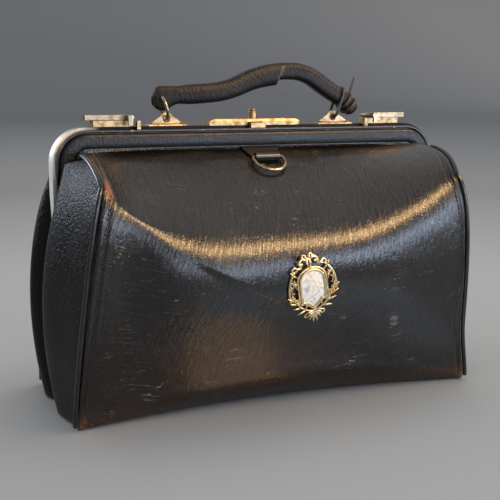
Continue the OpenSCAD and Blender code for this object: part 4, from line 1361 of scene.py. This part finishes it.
@dataclass
class Handle:
    """Padded handle with its mounts, wire ring and lashing, with sizes in millimetres."""

    finishes: Finishes
    stitches: StitchRow
    line: np.ndarray = field(init=False)
    axle_depth: float = 7.5
    ring_top: tuple[float, float] = (-84.84, 259.41)
    peak: float = 279.0
    end: float = 101.5
    end_dip: float = 2.2
    half_depth: tuple[float, float] = (2.6, 7.0)
    half_height: float = 8.5
    tear: float = 0.545
    tear_slant: float = 0.022
    bare_stretch: tuple[float, float] = (0.62, 0.9)
    groove_place: float = 0.46
    fill: float = 0.9

    def __post_init__(self) -> None:
        """Works out the control points of the centre line, from the ring to the lashed end."""
        x, z = self.ring_top
        self.line = np.array([
            (x - 8, z - 2), (x + 4, z + 0.5), (x + 30, z + 1.5), (-24, mix(z, self.peak, 0.2)),
            (2, mix(z, self.peak, 0.85)), (30, self.peak + 2), (52, self.peak), (72, mix(z, self.peak, 0.35)),
            (self.end - 8, z - 5), (self.end, z - 15)])

    def point(self, t: float) -> np.ndarray:
        """Point of the centre line."""
        x, z = spline(self.line, t)
        return np.array([x, self.axle_depth, z - self.end_dip * bump(t, 0.02, 0.05)])

    def size(self, t: float) -> tuple[float, float]:
        """Half depth and half height of the handle, with a paddle at its left end.

        Args:
            t: place along the handle, from 0 to 1.

        Returns:
            Half depth and half height.
        """
        left, right = min(t / 0.22, 1), min((1 - t) / 0.25, 1)
        paddle = 1 + 0.26 * bump(t, 0.04, 0.035) - 0.1 * bump(t, 0.12, 0.03)
        return mix(*self.half_depth, left) * mix(0.85, 1, right), self.half_height * paddle * mix(0.8, 1, right)

    def ring(self, t: float, turn: np.ndarray) -> tuple[np.ndarray, np.ndarray]:
        """One ring of the padded handle; beyond a slanting tear the cover is gone and the core is thinner.

        Args:
            t: place along the handle, from 0 to 1.
            turn: angles round the ring, from the back over the top.

        Returns:
            Points of the ring and the wear at each.
        """
        p, (deep, high) = self.point(t), self.size(t)
        h = unit(self.point(min(t + 0.01, 1)) - self.point(max(t - 0.01, 0)))
        up = np.array([-h[2], 0, h[0]])
        near = min(t, 1 - t)
        end = 0.05 if t < 0.5 else 0.02
        tip = math.sqrt(max(1 - (1 - near / end) ** 2, 0.12)) if near < end else 1.0
        c, s = np.cos(turn), np.sin(turn)
        square = (np.abs(c) ** 3 + np.abs(s) ** 3) ** (-1 / 3)
        side, rise = c * square, s * square
        past = t - self.tear - self.tear_slant * rise
        torn = smooth(past, -0.004, 0.004)
        whole = smooth(t, *self.bare_stretch)
        swell = 1 + 0.28 * smooth(t, 0.3, self.tear) * (1 - torn)
        low = np.where(rise < 0, mix(swell, mix(0.78, 1.0, whole), torn), 1.0)
        face = 1 - 0.14 * torn * smooth(-rise, -0.5, -0.3) * (1 - whole)
        groove = 1 - 0.1 * bump(rise, self.groove_place, 0.07) * (np.abs(side) > 0.4)
        points = (p + (deep * tip * side * face * groove)[:, None] * np.array([0, 1, 0])
                  + (high * tip * rise * low)[:, None] * up)
        edge = bump(past, 0.0, 0.009) * (rise < 0.55)
        wear = 0.42 * smooth(rise, 0.42, 0.75) + 1.2 * edge + 0.3 * (1 - smooth(near, 0, 0.05))
        return points, np.clip(wear, 0, 1)

    def stitch_line(self, start: float, stop: float) -> np.ndarray:
        """Path of the stitches along the front of the handle, in the groove under its rolled top.

        Args:
            start: place of the first stitch along the handle, from 0 to 1.
            stop: place of the last one.

        Returns:
            Points in millimetres.
        """
        path = []
        for t in np.linspace(start, stop, 90):
            points, _ = self.ring(t, np.array([np.pi - self.groove_place]))
            path.append(points[0] - np.array([0, 0.15, 0]))
        return np.array(path)

    def build(self) -> None:
        """Builds and dresses the handle."""
        finish = self.finishes
        turn = np.linspace(0, 2 * np.pi, 48, endpoint=False)
        torn = np.linspace(self.tear - 0.04, self.tear + 0.04, 60)
        stations = np.unique(np.concatenate([np.linspace(0, 1, 170), torn]))
        rings, wear = zip(*(self.ring(t, turn) for t in stations))
        padded = rings_of("padded_handle", np.array(rings), np.array(wear))
        settle(padded, finish.strap, Slot.LEATHER, Body.HANDLE, "handle")
        lines = [self.stitch_line(0.13, self.tear), self.stitch_line(self.tear + 0.03, 0.86)]
        sewn = self.stitches.sew("handle_stitches", lines, finish.pale_thread, pitch=3.4, length=2.6, width=0.7)
        settle(sewn, finish.pale_thread, Slot.LEATHER, Body.HANDLE)
        settle(cad_copy("handle_wire_ring", "handle_ring"), finish.wire, Slot.BRASS, Body.HANDLE, "handle_ring")
        settle(cad_copy("handle_lashing", "handle_lace"), finish.lace, Slot.LEATHER, Body.HANDLE, "handle_lace")
        for side in ("left", "right"):
            mount = f"{side}_handle_mount"
            settle(cad_copy(f"{side}_mount", mount, 0.35), finish.brass, Slot.BRASS, Body.BAG, mount)


@dataclass
class Closures:
    """Lock and sliding catches on the jaws."""

    finishes: Finishes
    spring_keep: float = 0.3

    def build(self) -> None:
        """Dresses the lock, its button, the catches and their rivets."""
        finish = self.finishes
        parts = (("lock_case", "lock_box", Body.BAG, 0.45), ("lock_button", "lock_push", Body.BUTTON, 0.35),
                 ("lock_tongue", "lock_staple", Body.JAW, 0.3),
                 ("left_catch_base", "left_catch_box", Body.BAG, 0.4),
                 ("right_catch_base", "right_catch_box", Body.BAG, 0.4),
                 ("left_catch_slide", "left_slide_bar", Body.LEFT_SLIDE, 0.4),
                 ("right_catch_slide", "right_slide_bar", Body.RIGHT_SLIDE, 0.4),
                 ("left_catch_post", "left_staple", Body.JAW, 0.3),
                 ("right_catch_post", "right_staple", Body.JAW, 0.3),
                 ("hardware_rivets", "rivet_heads", Body.BAG, 0.0))
        for node, name, body, edge in parts:
            metal = finish.rubbed if "slide" in node else finish.brass
            settle(cad_copy(name, node, edge), metal, Slot.BRASS, body, node)
        spring = cad_copy("lock_washers", "lock_spring")
        settle(spring, finish.nickel, Slot.NICKEL, Body.BAG, "lock_spring")
        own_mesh(spring)


@dataclass
class RingTab:
    """Leather tab with the dee ring on the front."""

    finishes: Finishes
    edge: float = 0.4

    def build(self) -> None:
        """Dresses the tab and its ring."""
        finish = self.finishes
        settle(cad_copy("dee_tab", "ring_tab", self.edge), finish.edge, Slot.LEATHER, Body.JAW, "ring_tab")
        settle(cad_copy("dee_wire", "dee_ring"), finish.wire, Slot.BRASS, Body.DEE, "dee_ring")


@dataclass
class Brooch:
    """Gilt wreath of leaves and scrolls round a mother of pearl plaque, with sizes in millimetres.

    The pieces are drawn flat, x to the right, y up and z out of the leather, then laid on the front.
    """

    finishes: Finishes
    body: LeatherBody
    leather: np.ndarray = field(init=False)
    seat: np.ndarray = field(init=False)
    up: np.ndarray = field(init=False)
    out: np.ndarray = field(init=False)
    plaque: tuple[float, float] = (20.24, 34.0)
    tilt: float = 15.0
    place: tuple[float, float] = (6.0, 107.0)
    reach: float = 12.0
    give: float = 0.6
    lift: float = 0.4
    # x, y and direction of each leaf of the spray
    laurel: tuple = ((17.2, -6.5, 74), (17.0, -7.0, 42), (14.6, -10.5, 66), (14.4, -11.0, 28), (14.2, -10.0, 108),
                     (11.4, -15.0, 58), (11.2, -15.5, 14), (10.8, -14.4, 100), (7.6, -18.6, 44), (7.4, -19.2, -6),
                     (6.8, -18.0, 92))

    def __post_init__(self) -> None:
        """Finds the place on the leather, and the leather's slope there."""
        self.leather = self.body.front_face(np.linspace(1, 2, 90))
        x, z = self.place
        heights = np.array([z, z + self.reach, z - self.reach])
        y, y_up, y_down = self.depth(np.array([x, x, x]), heights)
        self.seat = np.array([x, y, z])
        self.up = unit(np.array([0.0, y_up - y_down, 2 * self.reach]))
        self.out = np.array([0.0, -self.up[2], self.up[1]])

    def depth(self, x: np.ndarray, z: np.ndarray) -> np.ndarray:
        """Place of the leather's face.

        Args:
            x: distances from the middle of the bag.
            z: heights.

        Returns:
            The leather's y at each x and z.
        """
        middle = self.leather[len(self.leather) // 2, :, 0]
        column = np.abs(middle[None, :] - np.asarray(x)[:, None]).argmin(axis=1)
        return np.array([np.interp(h, self.leather[:, c, 2], self.leather[:, c, 1]) for h, c in zip(z, column)])

    def lay(self, points: np.ndarray) -> np.ndarray:
        """Lays drawn points on the leather, bent part of the way along its curve.

        Args:
            points: drawn points.

        Returns:
            The points in the frame of the bag.
        """
        a = math.radians(self.tilt)
        x, y, z = points.reshape(-1, 3).T
        across, along = x * math.cos(a) - y * math.sin(a), x * math.sin(a) + y * math.cos(a)
        flat = self.seat + across[:, None] * np.array([1.0, 0, 0]) + along[:, None] * self.up
        flat[:, 1] += self.give * (self.depth(flat[:, 0], flat[:, 2]) - flat[:, 1])
        return (flat + (z + self.lift)[:, None] * self.out).reshape(points.shape)

    def outline(self, grow: float, step: float = 1.2) -> np.ndarray:
        """Outline of the plaque: a round arched top and a pointed foot between notched shoulders.

        Args:
            grow: distance outside the plaque.
            step: distance between points.

        Returns:
            Drawn points with x and y.
        """
        half, top = self.plaque[0] / 2 + grow, self.plaque[1] / 2 + grow
        arch = [(half * math.cos(q), top * (0.45 + 0.55 * math.sin(q))) for q in np.linspace(0, np.pi, 28)]
        foot = [(-1, -0.5), (-0.85, -0.62), (-0.62, -0.62), (0, -1), (0.62, -0.62), (0.85, -0.62), (1, -0.5)]
        corners = arch + [(half * a, top * b) for a, b in foot]
        path = []
        for (x, y), (x2, y2) in zip(corners, corners[1:] + corners[:1]):
            steps = max(int(math.hypot(x2 - x, y2 - y) / step), 1)
            path += [(mix(x, x2, k / steps), mix(y, y2, k / steps)) for k in range(steps)]
        return np.array(path)

    def wire(self, path: Sequence[tuple[float, float]], radius: float, height: float,
             closed: bool = False) -> np.ndarray:
        """Rings of a wire along a drawn path.

        Args:
            path: points with x and y.
            radius: radius of the wire.
            height: height of its middle over the leather.
            closed: whether the path closes on itself.

        Returns:
            The rings.
        """
        flat = np.array([(x, y, height) for x, y in path])
        return path_rings(flat, radius, 8, closed)

    def leaf(self, start: tuple[float, float], angle: float, length: float, width: float) -> np.ndarray:
        """Rings of a pointed leaf with a raised rib.

        Args:
            start: foot of the leaf.
            angle: its direction in degrees from the right.
            length: its length in millimetres.
            width: its width in millimetres.

        Returns:
            The rings.
        """
        a = math.radians(angle)
        along, across = np.array([math.cos(a), math.sin(a), 0]), np.array([-math.sin(a), math.cos(a), 0])
        turn = np.linspace(0, 2 * np.pi, 8, endpoint=False)
        rib = np.sin(turn) * 0.75 * (1 + 0.4 * (np.sin(turn) > 0.9))
        rings = []
        for t in np.linspace(0, 1, 9):
            wide = max(math.sin(math.pi * t ** 0.8), 0.08) * width / 2
            centre = np.array([*start, 1.0 + 1.3 * math.sin(math.pi * t * 0.75)]) + along * length * t
            rings.append(centre + np.cos(turn)[:, None] * wide * across + rib[:, None] * np.array([0, 0, 1]))
        return np.array(rings)

    def scroll(self, centre: tuple[float, float], start: float, stop: float, size: tuple[float, float],
               shrink: float = 1.0) -> list[tuple[float, float]]:
        """Drawn path of an arc whose radius may shrink towards its end.

        Args:
            centre: centre of the arc.
            start: angle of its start in degrees from the right.
            stop: angle of its end.
            size: radius across and up.
            shrink: share of the radius that is left at the end.

        Returns:
            Points with x and y.
        """
        path = []
        for t in np.linspace(0, 1, 26):
            a, k = math.radians(mix(start, stop, t)), mix(1, shrink, t)
            path.append((centre[0] + k * size[0] * math.cos(a), centre[1] + k * size[1] * math.sin(a)))
        return path

    def half(self) -> list[np.ndarray]:
        """Rings of the right half of the wreath.

        Returns:
            Rings of each scroll, bar and leaf.
        """
        frame_side = [self.wire(self.scroll((0, 0), -14, 50, (21, 26)), 1.15, 1.4),
                      self.wire(self.scroll((18.2, -4.5), 10, 330, (2.4, 2.4), 0.3), 0.75, 1.6),
                      self.wire(self.scroll((12.6, 21.0), -30, 280, (3.0, 3.0), 0.3), 0.8, 1.6),
                      self.wire(self.scroll((16.5, 3.0), 80, -80, (2.6, 4.0), 0.6), 0.7, 1.5),
                      self.wire([(13.4, 4.0), (17.8, 11.6), (13.2, 10.4)], 0.85, 1.6),
                      self.wire([(13.8, 8.0), (15.6, 9.4)], 1.0, 1.8),
                      self.wire(self.scroll((0, 0), -90, -22, (15.5, 21.5)), 0.9, 1.2),
                      self.wire([(12.2, 14.0), (16.0, 17.4)], 0.8, 1.3),
                      self.wire([(13.0, -6.0), (18.5, -7.0)], 0.8, 1.3)]
        spray = [self.leaf((x, y), a, 8.6, 2.3) for x, y, a in self.laurel]
        palmette = [self.wire(self.scroll((6.4, -25.0), 120, -150, (3.2, 2.6), 0.4), 0.8, 1.6)]
        palmette += [self.leaf((0.6, -22.0), angle, length, 2.6)
                     for angle, length in ((-84, 11.5), (-58, 9.0), (-30, 8.0), (2, 7.0))]
        crest = [self.wire(self.scroll((5.6, 25.6), 200, -110, (4.0, 3.0), 0.35), 0.95, 1.8),
                 self.wire(self.scroll((3.4, 30.0), 230, -60, (2.4, 2.0), 0.4), 0.85, 1.8),
                 self.wire([(0.2, 19.6), (1.6, 24.0), (0.4, 28.6)], 1.0, 2.0)]
        crest += [self.leaf((0.6, 26.0), a, 7.0, 2.6) for a in (72, 34)]
        crest += [self.leaf((6.4, 20.4), a, 7.0, 2.4) for a in (66, 20)]
        crest += [self.leaf((14.8, 16.2), 60, 6.0, 2.2), self.leaf((18.6, 3.0), 84, 7.5, 2.2),
                  self.leaf((17.0, 8.0), 110, 6.0, 2.0)]
        return frame_side + spray + palmette + crest

    def build(self) -> None:
        """Builds and dresses the wreath, its rims and its back plate as one piece, then the plaque."""
        rims = [self.wire(self.outline(grow), radius, height, True)
                for grow, radius, height in ((0.7, 0.85, 2.6), (2.5, 0.95, 2.0))]
        right = self.half()
        edge = self.outline(2.8)
        plate = np.array([np.column_stack([edge, np.full(len(edge), z)]) for z in (0.2, 1.1)])
        pieces = [(rings, True) for rings in rims] + [(rings, False) for rings in right]
        pieces += [(rings * (-1, 1, 1), False) for rings in right] + [(plate, False)]
        points, faces = [], []
        for rings, closed in pieces:
            part = rings_of("part", self.lay(rings), None, closed)
            start = len(points)
            points += [tuple(np.array(v.co) / MM) for v in part.data.vertices]
            faces += [[start + k for k in f.vertices] for f in part.data.polygons]
            bpy.data.meshes.remove(part.data)
        wreath = mesh_of("brooch_gilt", np.array(points), faces)
        settle(wreath, self.finishes.gilt, Slot.BRASS, Body.BAG, "brooch_frame")
        self.shell()

    def shell(self) -> None:
        """Builds the domed plaque of shell."""
        edge = self.outline(0.2)
        rings = [np.column_stack([edge * k, np.full(len(edge), 1.2 + 1.9 * math.sqrt(1 - k ** 2 * 0.75))])
                 for k in (1.0, 0.97, 0.9, 0.8, 0.65, 0.45, 0.25, 0.08)]
        plaque = rings_of("brooch_shell", self.lay(np.array(rings)))
        settle(plaque, self.finishes.pearl, Slot.PEARL, Body.BAG, "brooch_pearl")


@dataclass(frozen=True)
class Lamp:
    """Area light, with its place and size in metres and its power in watts.

    A lamp on the floor stands for light that the floor throws back, and faces up. The camera sees no lamp.
    """

    name: str
    place: tuple[float, float, float]
    size: tuple[float, float]
    power: float
    colour: str
    on_floor: bool = False
    bag_only: bool = True

    def hang(self) -> bpy.types.Object:
        """Adds the light to the scene.

        Returns:
            The light.
        """
        data = bpy.data.lights.new(self.name, "AREA")
        data.shape, data.size, data.size_y = "RECTANGLE", *self.size
        data.energy, data.color = self.power, linear(self.colour)[:3]
        lamp = bpy.data.objects.new(self.name, data)
        lamp.location = self.place
        aim = (*self.place[:2], 1.0) if self.on_floor else (0.0, 0.0, 0.12)
        lamp.rotation_euler = (Vector(aim) - Vector(self.place)).to_track_quat("-Z", "Y").to_euler()
        lamp.visible_camera = False
        bpy.context.scene.collection.objects.link(lamp)
        return lamp


@dataclass
class Studio:
    """Floor, backdrop, lights and the camera of the photograph.

    The camera's place is in millimetres, its focal length in pixels, and the floor's sizes are in metres.
    """

    camera_place: tuple[float, float, float] = (-336.6, -780.4, 263.2)
    camera_yaw: float = 23.0
    camera_pitch: float = 9.4
    focal_pixels: float = 957.6
    picture: int = 500
    sensor: float = 36.0
    air: str = "#b9bcc2"
    air_strength: float = 0.75
    floor_half: float = 14.0
    floor_front: float = -6.0
    floor_back: float = 9.0
    sweep: float = 3.0
    wall: float = 9.0
    # painted light: tone of the floor by its share of the distance from the bag to floor_half, brightest next to
    # the bag as a painted pool of light
    painted_light_tones: tuple = ((0.0, "#efeeea"), (0.045, "#e8e6e2"), (0.075, "#d3d2cf"), (0.125, "#bab9b7"),
                    (0.25, "#bfbebc"), (0.55, "#a5a5a5"), (0.8, "#a9aaac"), (1.0, "#cfccc7"))
    lamps: tuple[Lamp, ...] = (
        Lamp("ceiling_glow", (1.0, 0.75, 2.2), (3.6, 2.8), 16, "#f0ebe3", bag_only=False),
        Lamp("warm_lamp", (0.9, -1.36, 1.42), (1.3, 0.5), 62, "#ffcf94"),
        Lamp("cool_panel", (0.85, -1.0, 0.2), (1.3, 0.36), 14, "#c4d2ea"),
        Lamp("left_window", (-1.5, 1.7, 1.15), (1.0, 1.1), 40, "#d3dcec"),
        Lamp("table_bounce", (-0.03, -0.098, 0.002), (0.08, 0.03), 0.012, "#e0b483", on_floor=True),
        Lamp("floor_bounce", (0.07, -0.175, 0.002), (0.26, 0.13), 0.065, "#bcd2e8", on_floor=True),
        Lamp("front_panel", (0.1, -1.35, 0.17), (0.7, 0.3), 4, "#c6d4e6"))

    def camera(self) -> None:
        """Sets the camera."""
        data = bpy.data.cameras.new("photo_camera")
        data.sensor_width, data.lens = self.sensor, self.focal_pixels * self.sensor / self.picture
        camera = bpy.data.objects.new("photo_camera", data)
        camera.location = Vector(self.camera_place) * MM
        camera.rotation_euler = (math.radians(90 - self.camera_pitch), 0, math.radians(-self.camera_yaw))
        bpy.context.scene.collection.objects.link(camera)
        bpy.context.scene.camera = camera

    def paper(self) -> bpy.types.Material:
        """Matt studio paper with a painted pool of light: its smooth tone is brightest next to the bag and falls
        off with the distance from it.

        Returns:
            The material.
        """
        material, tree = new_material("studio_paper")
        place = add(tree, "ShaderNodeTexCoord").outputs["Object"]
        far = add(tree, "ShaderNodeVectorMath", {0: place}, operation="LENGTH")
        share = add(tree, "ShaderNodeMapRange", {
            0: far.outputs["Value"], 1: 0.0, 2: self.floor_half, 3: 0.0, 4: 1.0})
        # painted pool of light: paler near the bag, where it also lifts the bag's shadow, and darker further out
        stops = [(at, linear(code)) for at, code in self.painted_light_tones]
        tone = add(tree, "ShaderNodeValToRGB", {0: share.outputs[0]}, stops=stops)
        shade(tree, Base_Color=tone.outputs[0], Roughness=0.9)
        return material

    def floor(self) -> None:
        """Lays a pale floor that sweeps up into a wall far behind."""
        r, back = self.sweep, self.floor_back
        curve = [(back + r * math.sin(a), r - r * math.cos(a)) for a in np.linspace(0.1, 1.5, 12)]
        path = [(self.floor_front, 0.0), (back, 0.0), *curve, (back + r, self.wall)]
        points = [(x, y, z) for y, z in path for x in (-self.floor_half, self.floor_half)]
        mesh = bpy.data.meshes.new("studio_floor")
        mesh.from_pydata(points, [], [(2 * i, 2 * i + 1, 2 * i + 3, 2 * i + 2) for i in range(len(path) - 1)])
        mesh.polygons.foreach_set("use_smooth", [True] * len(mesh.polygons))
        floor = new_object("studio_floor", mesh)
        mesh.materials.append(self.paper())

    def build(self) -> list[bpy.types.Object]:
        """Sets up the studio.

        Returns:
            The lamps that are kept off the floor.
        """
        self.camera()
        self.floor()
        world = bpy.data.worlds.new("studio_air")
        world.use_nodes = True
        world.node_tree.nodes["Background"].inputs[0].default_value = linear(self.air)
        world.node_tree.nodes["Background"].inputs[1].default_value = self.air_strength
        bpy.context.scene.world = world
        bpy.context.scene.view_settings.view_transform = "Standard"
        hung = [(lamp.hang(), lamp.bag_only) for lamp in self.lamps]
        return [lamp for lamp, bag_only in hung if bag_only]

    def keep_off_floor(self, lamps: Sequence[bpy.types.Object]) -> None:
        """Lets lamps light the bag alone, so that the floor keeps its neutral tone.

        Args:
            lamps: the lamps.
        """
        group = bpy.data.collections.new("lit_pieces")
        for obj in bpy.context.scene.objects:
            if obj.type == "MESH" and obj.name != "studio_floor":
                group.objects.link(obj)
        for lamp in lamps:
            lamp.light_linking.receiver_collection = group


def main() -> None:
    """Builds the studio and every piece of the bag."""
    logging.basicConfig(level=logging.INFO, format="%(name)s: %(message)s")
    studio = Studio()
    lamps = studio.build()
    finishes, stitches = Finishes(), StitchRow()
    leather = LeatherBody(finishes, stitches)
    for assembly in (leather, Gussets(finishes), Jaws(finishes), Handle(finishes, stitches),
                     Closures(finishes), RingTab(finishes), Brooch(finishes, leather)):
        assembly.build()
    studio.keep_off_floor(lamps)


if __name__ == "__main__":
    main()
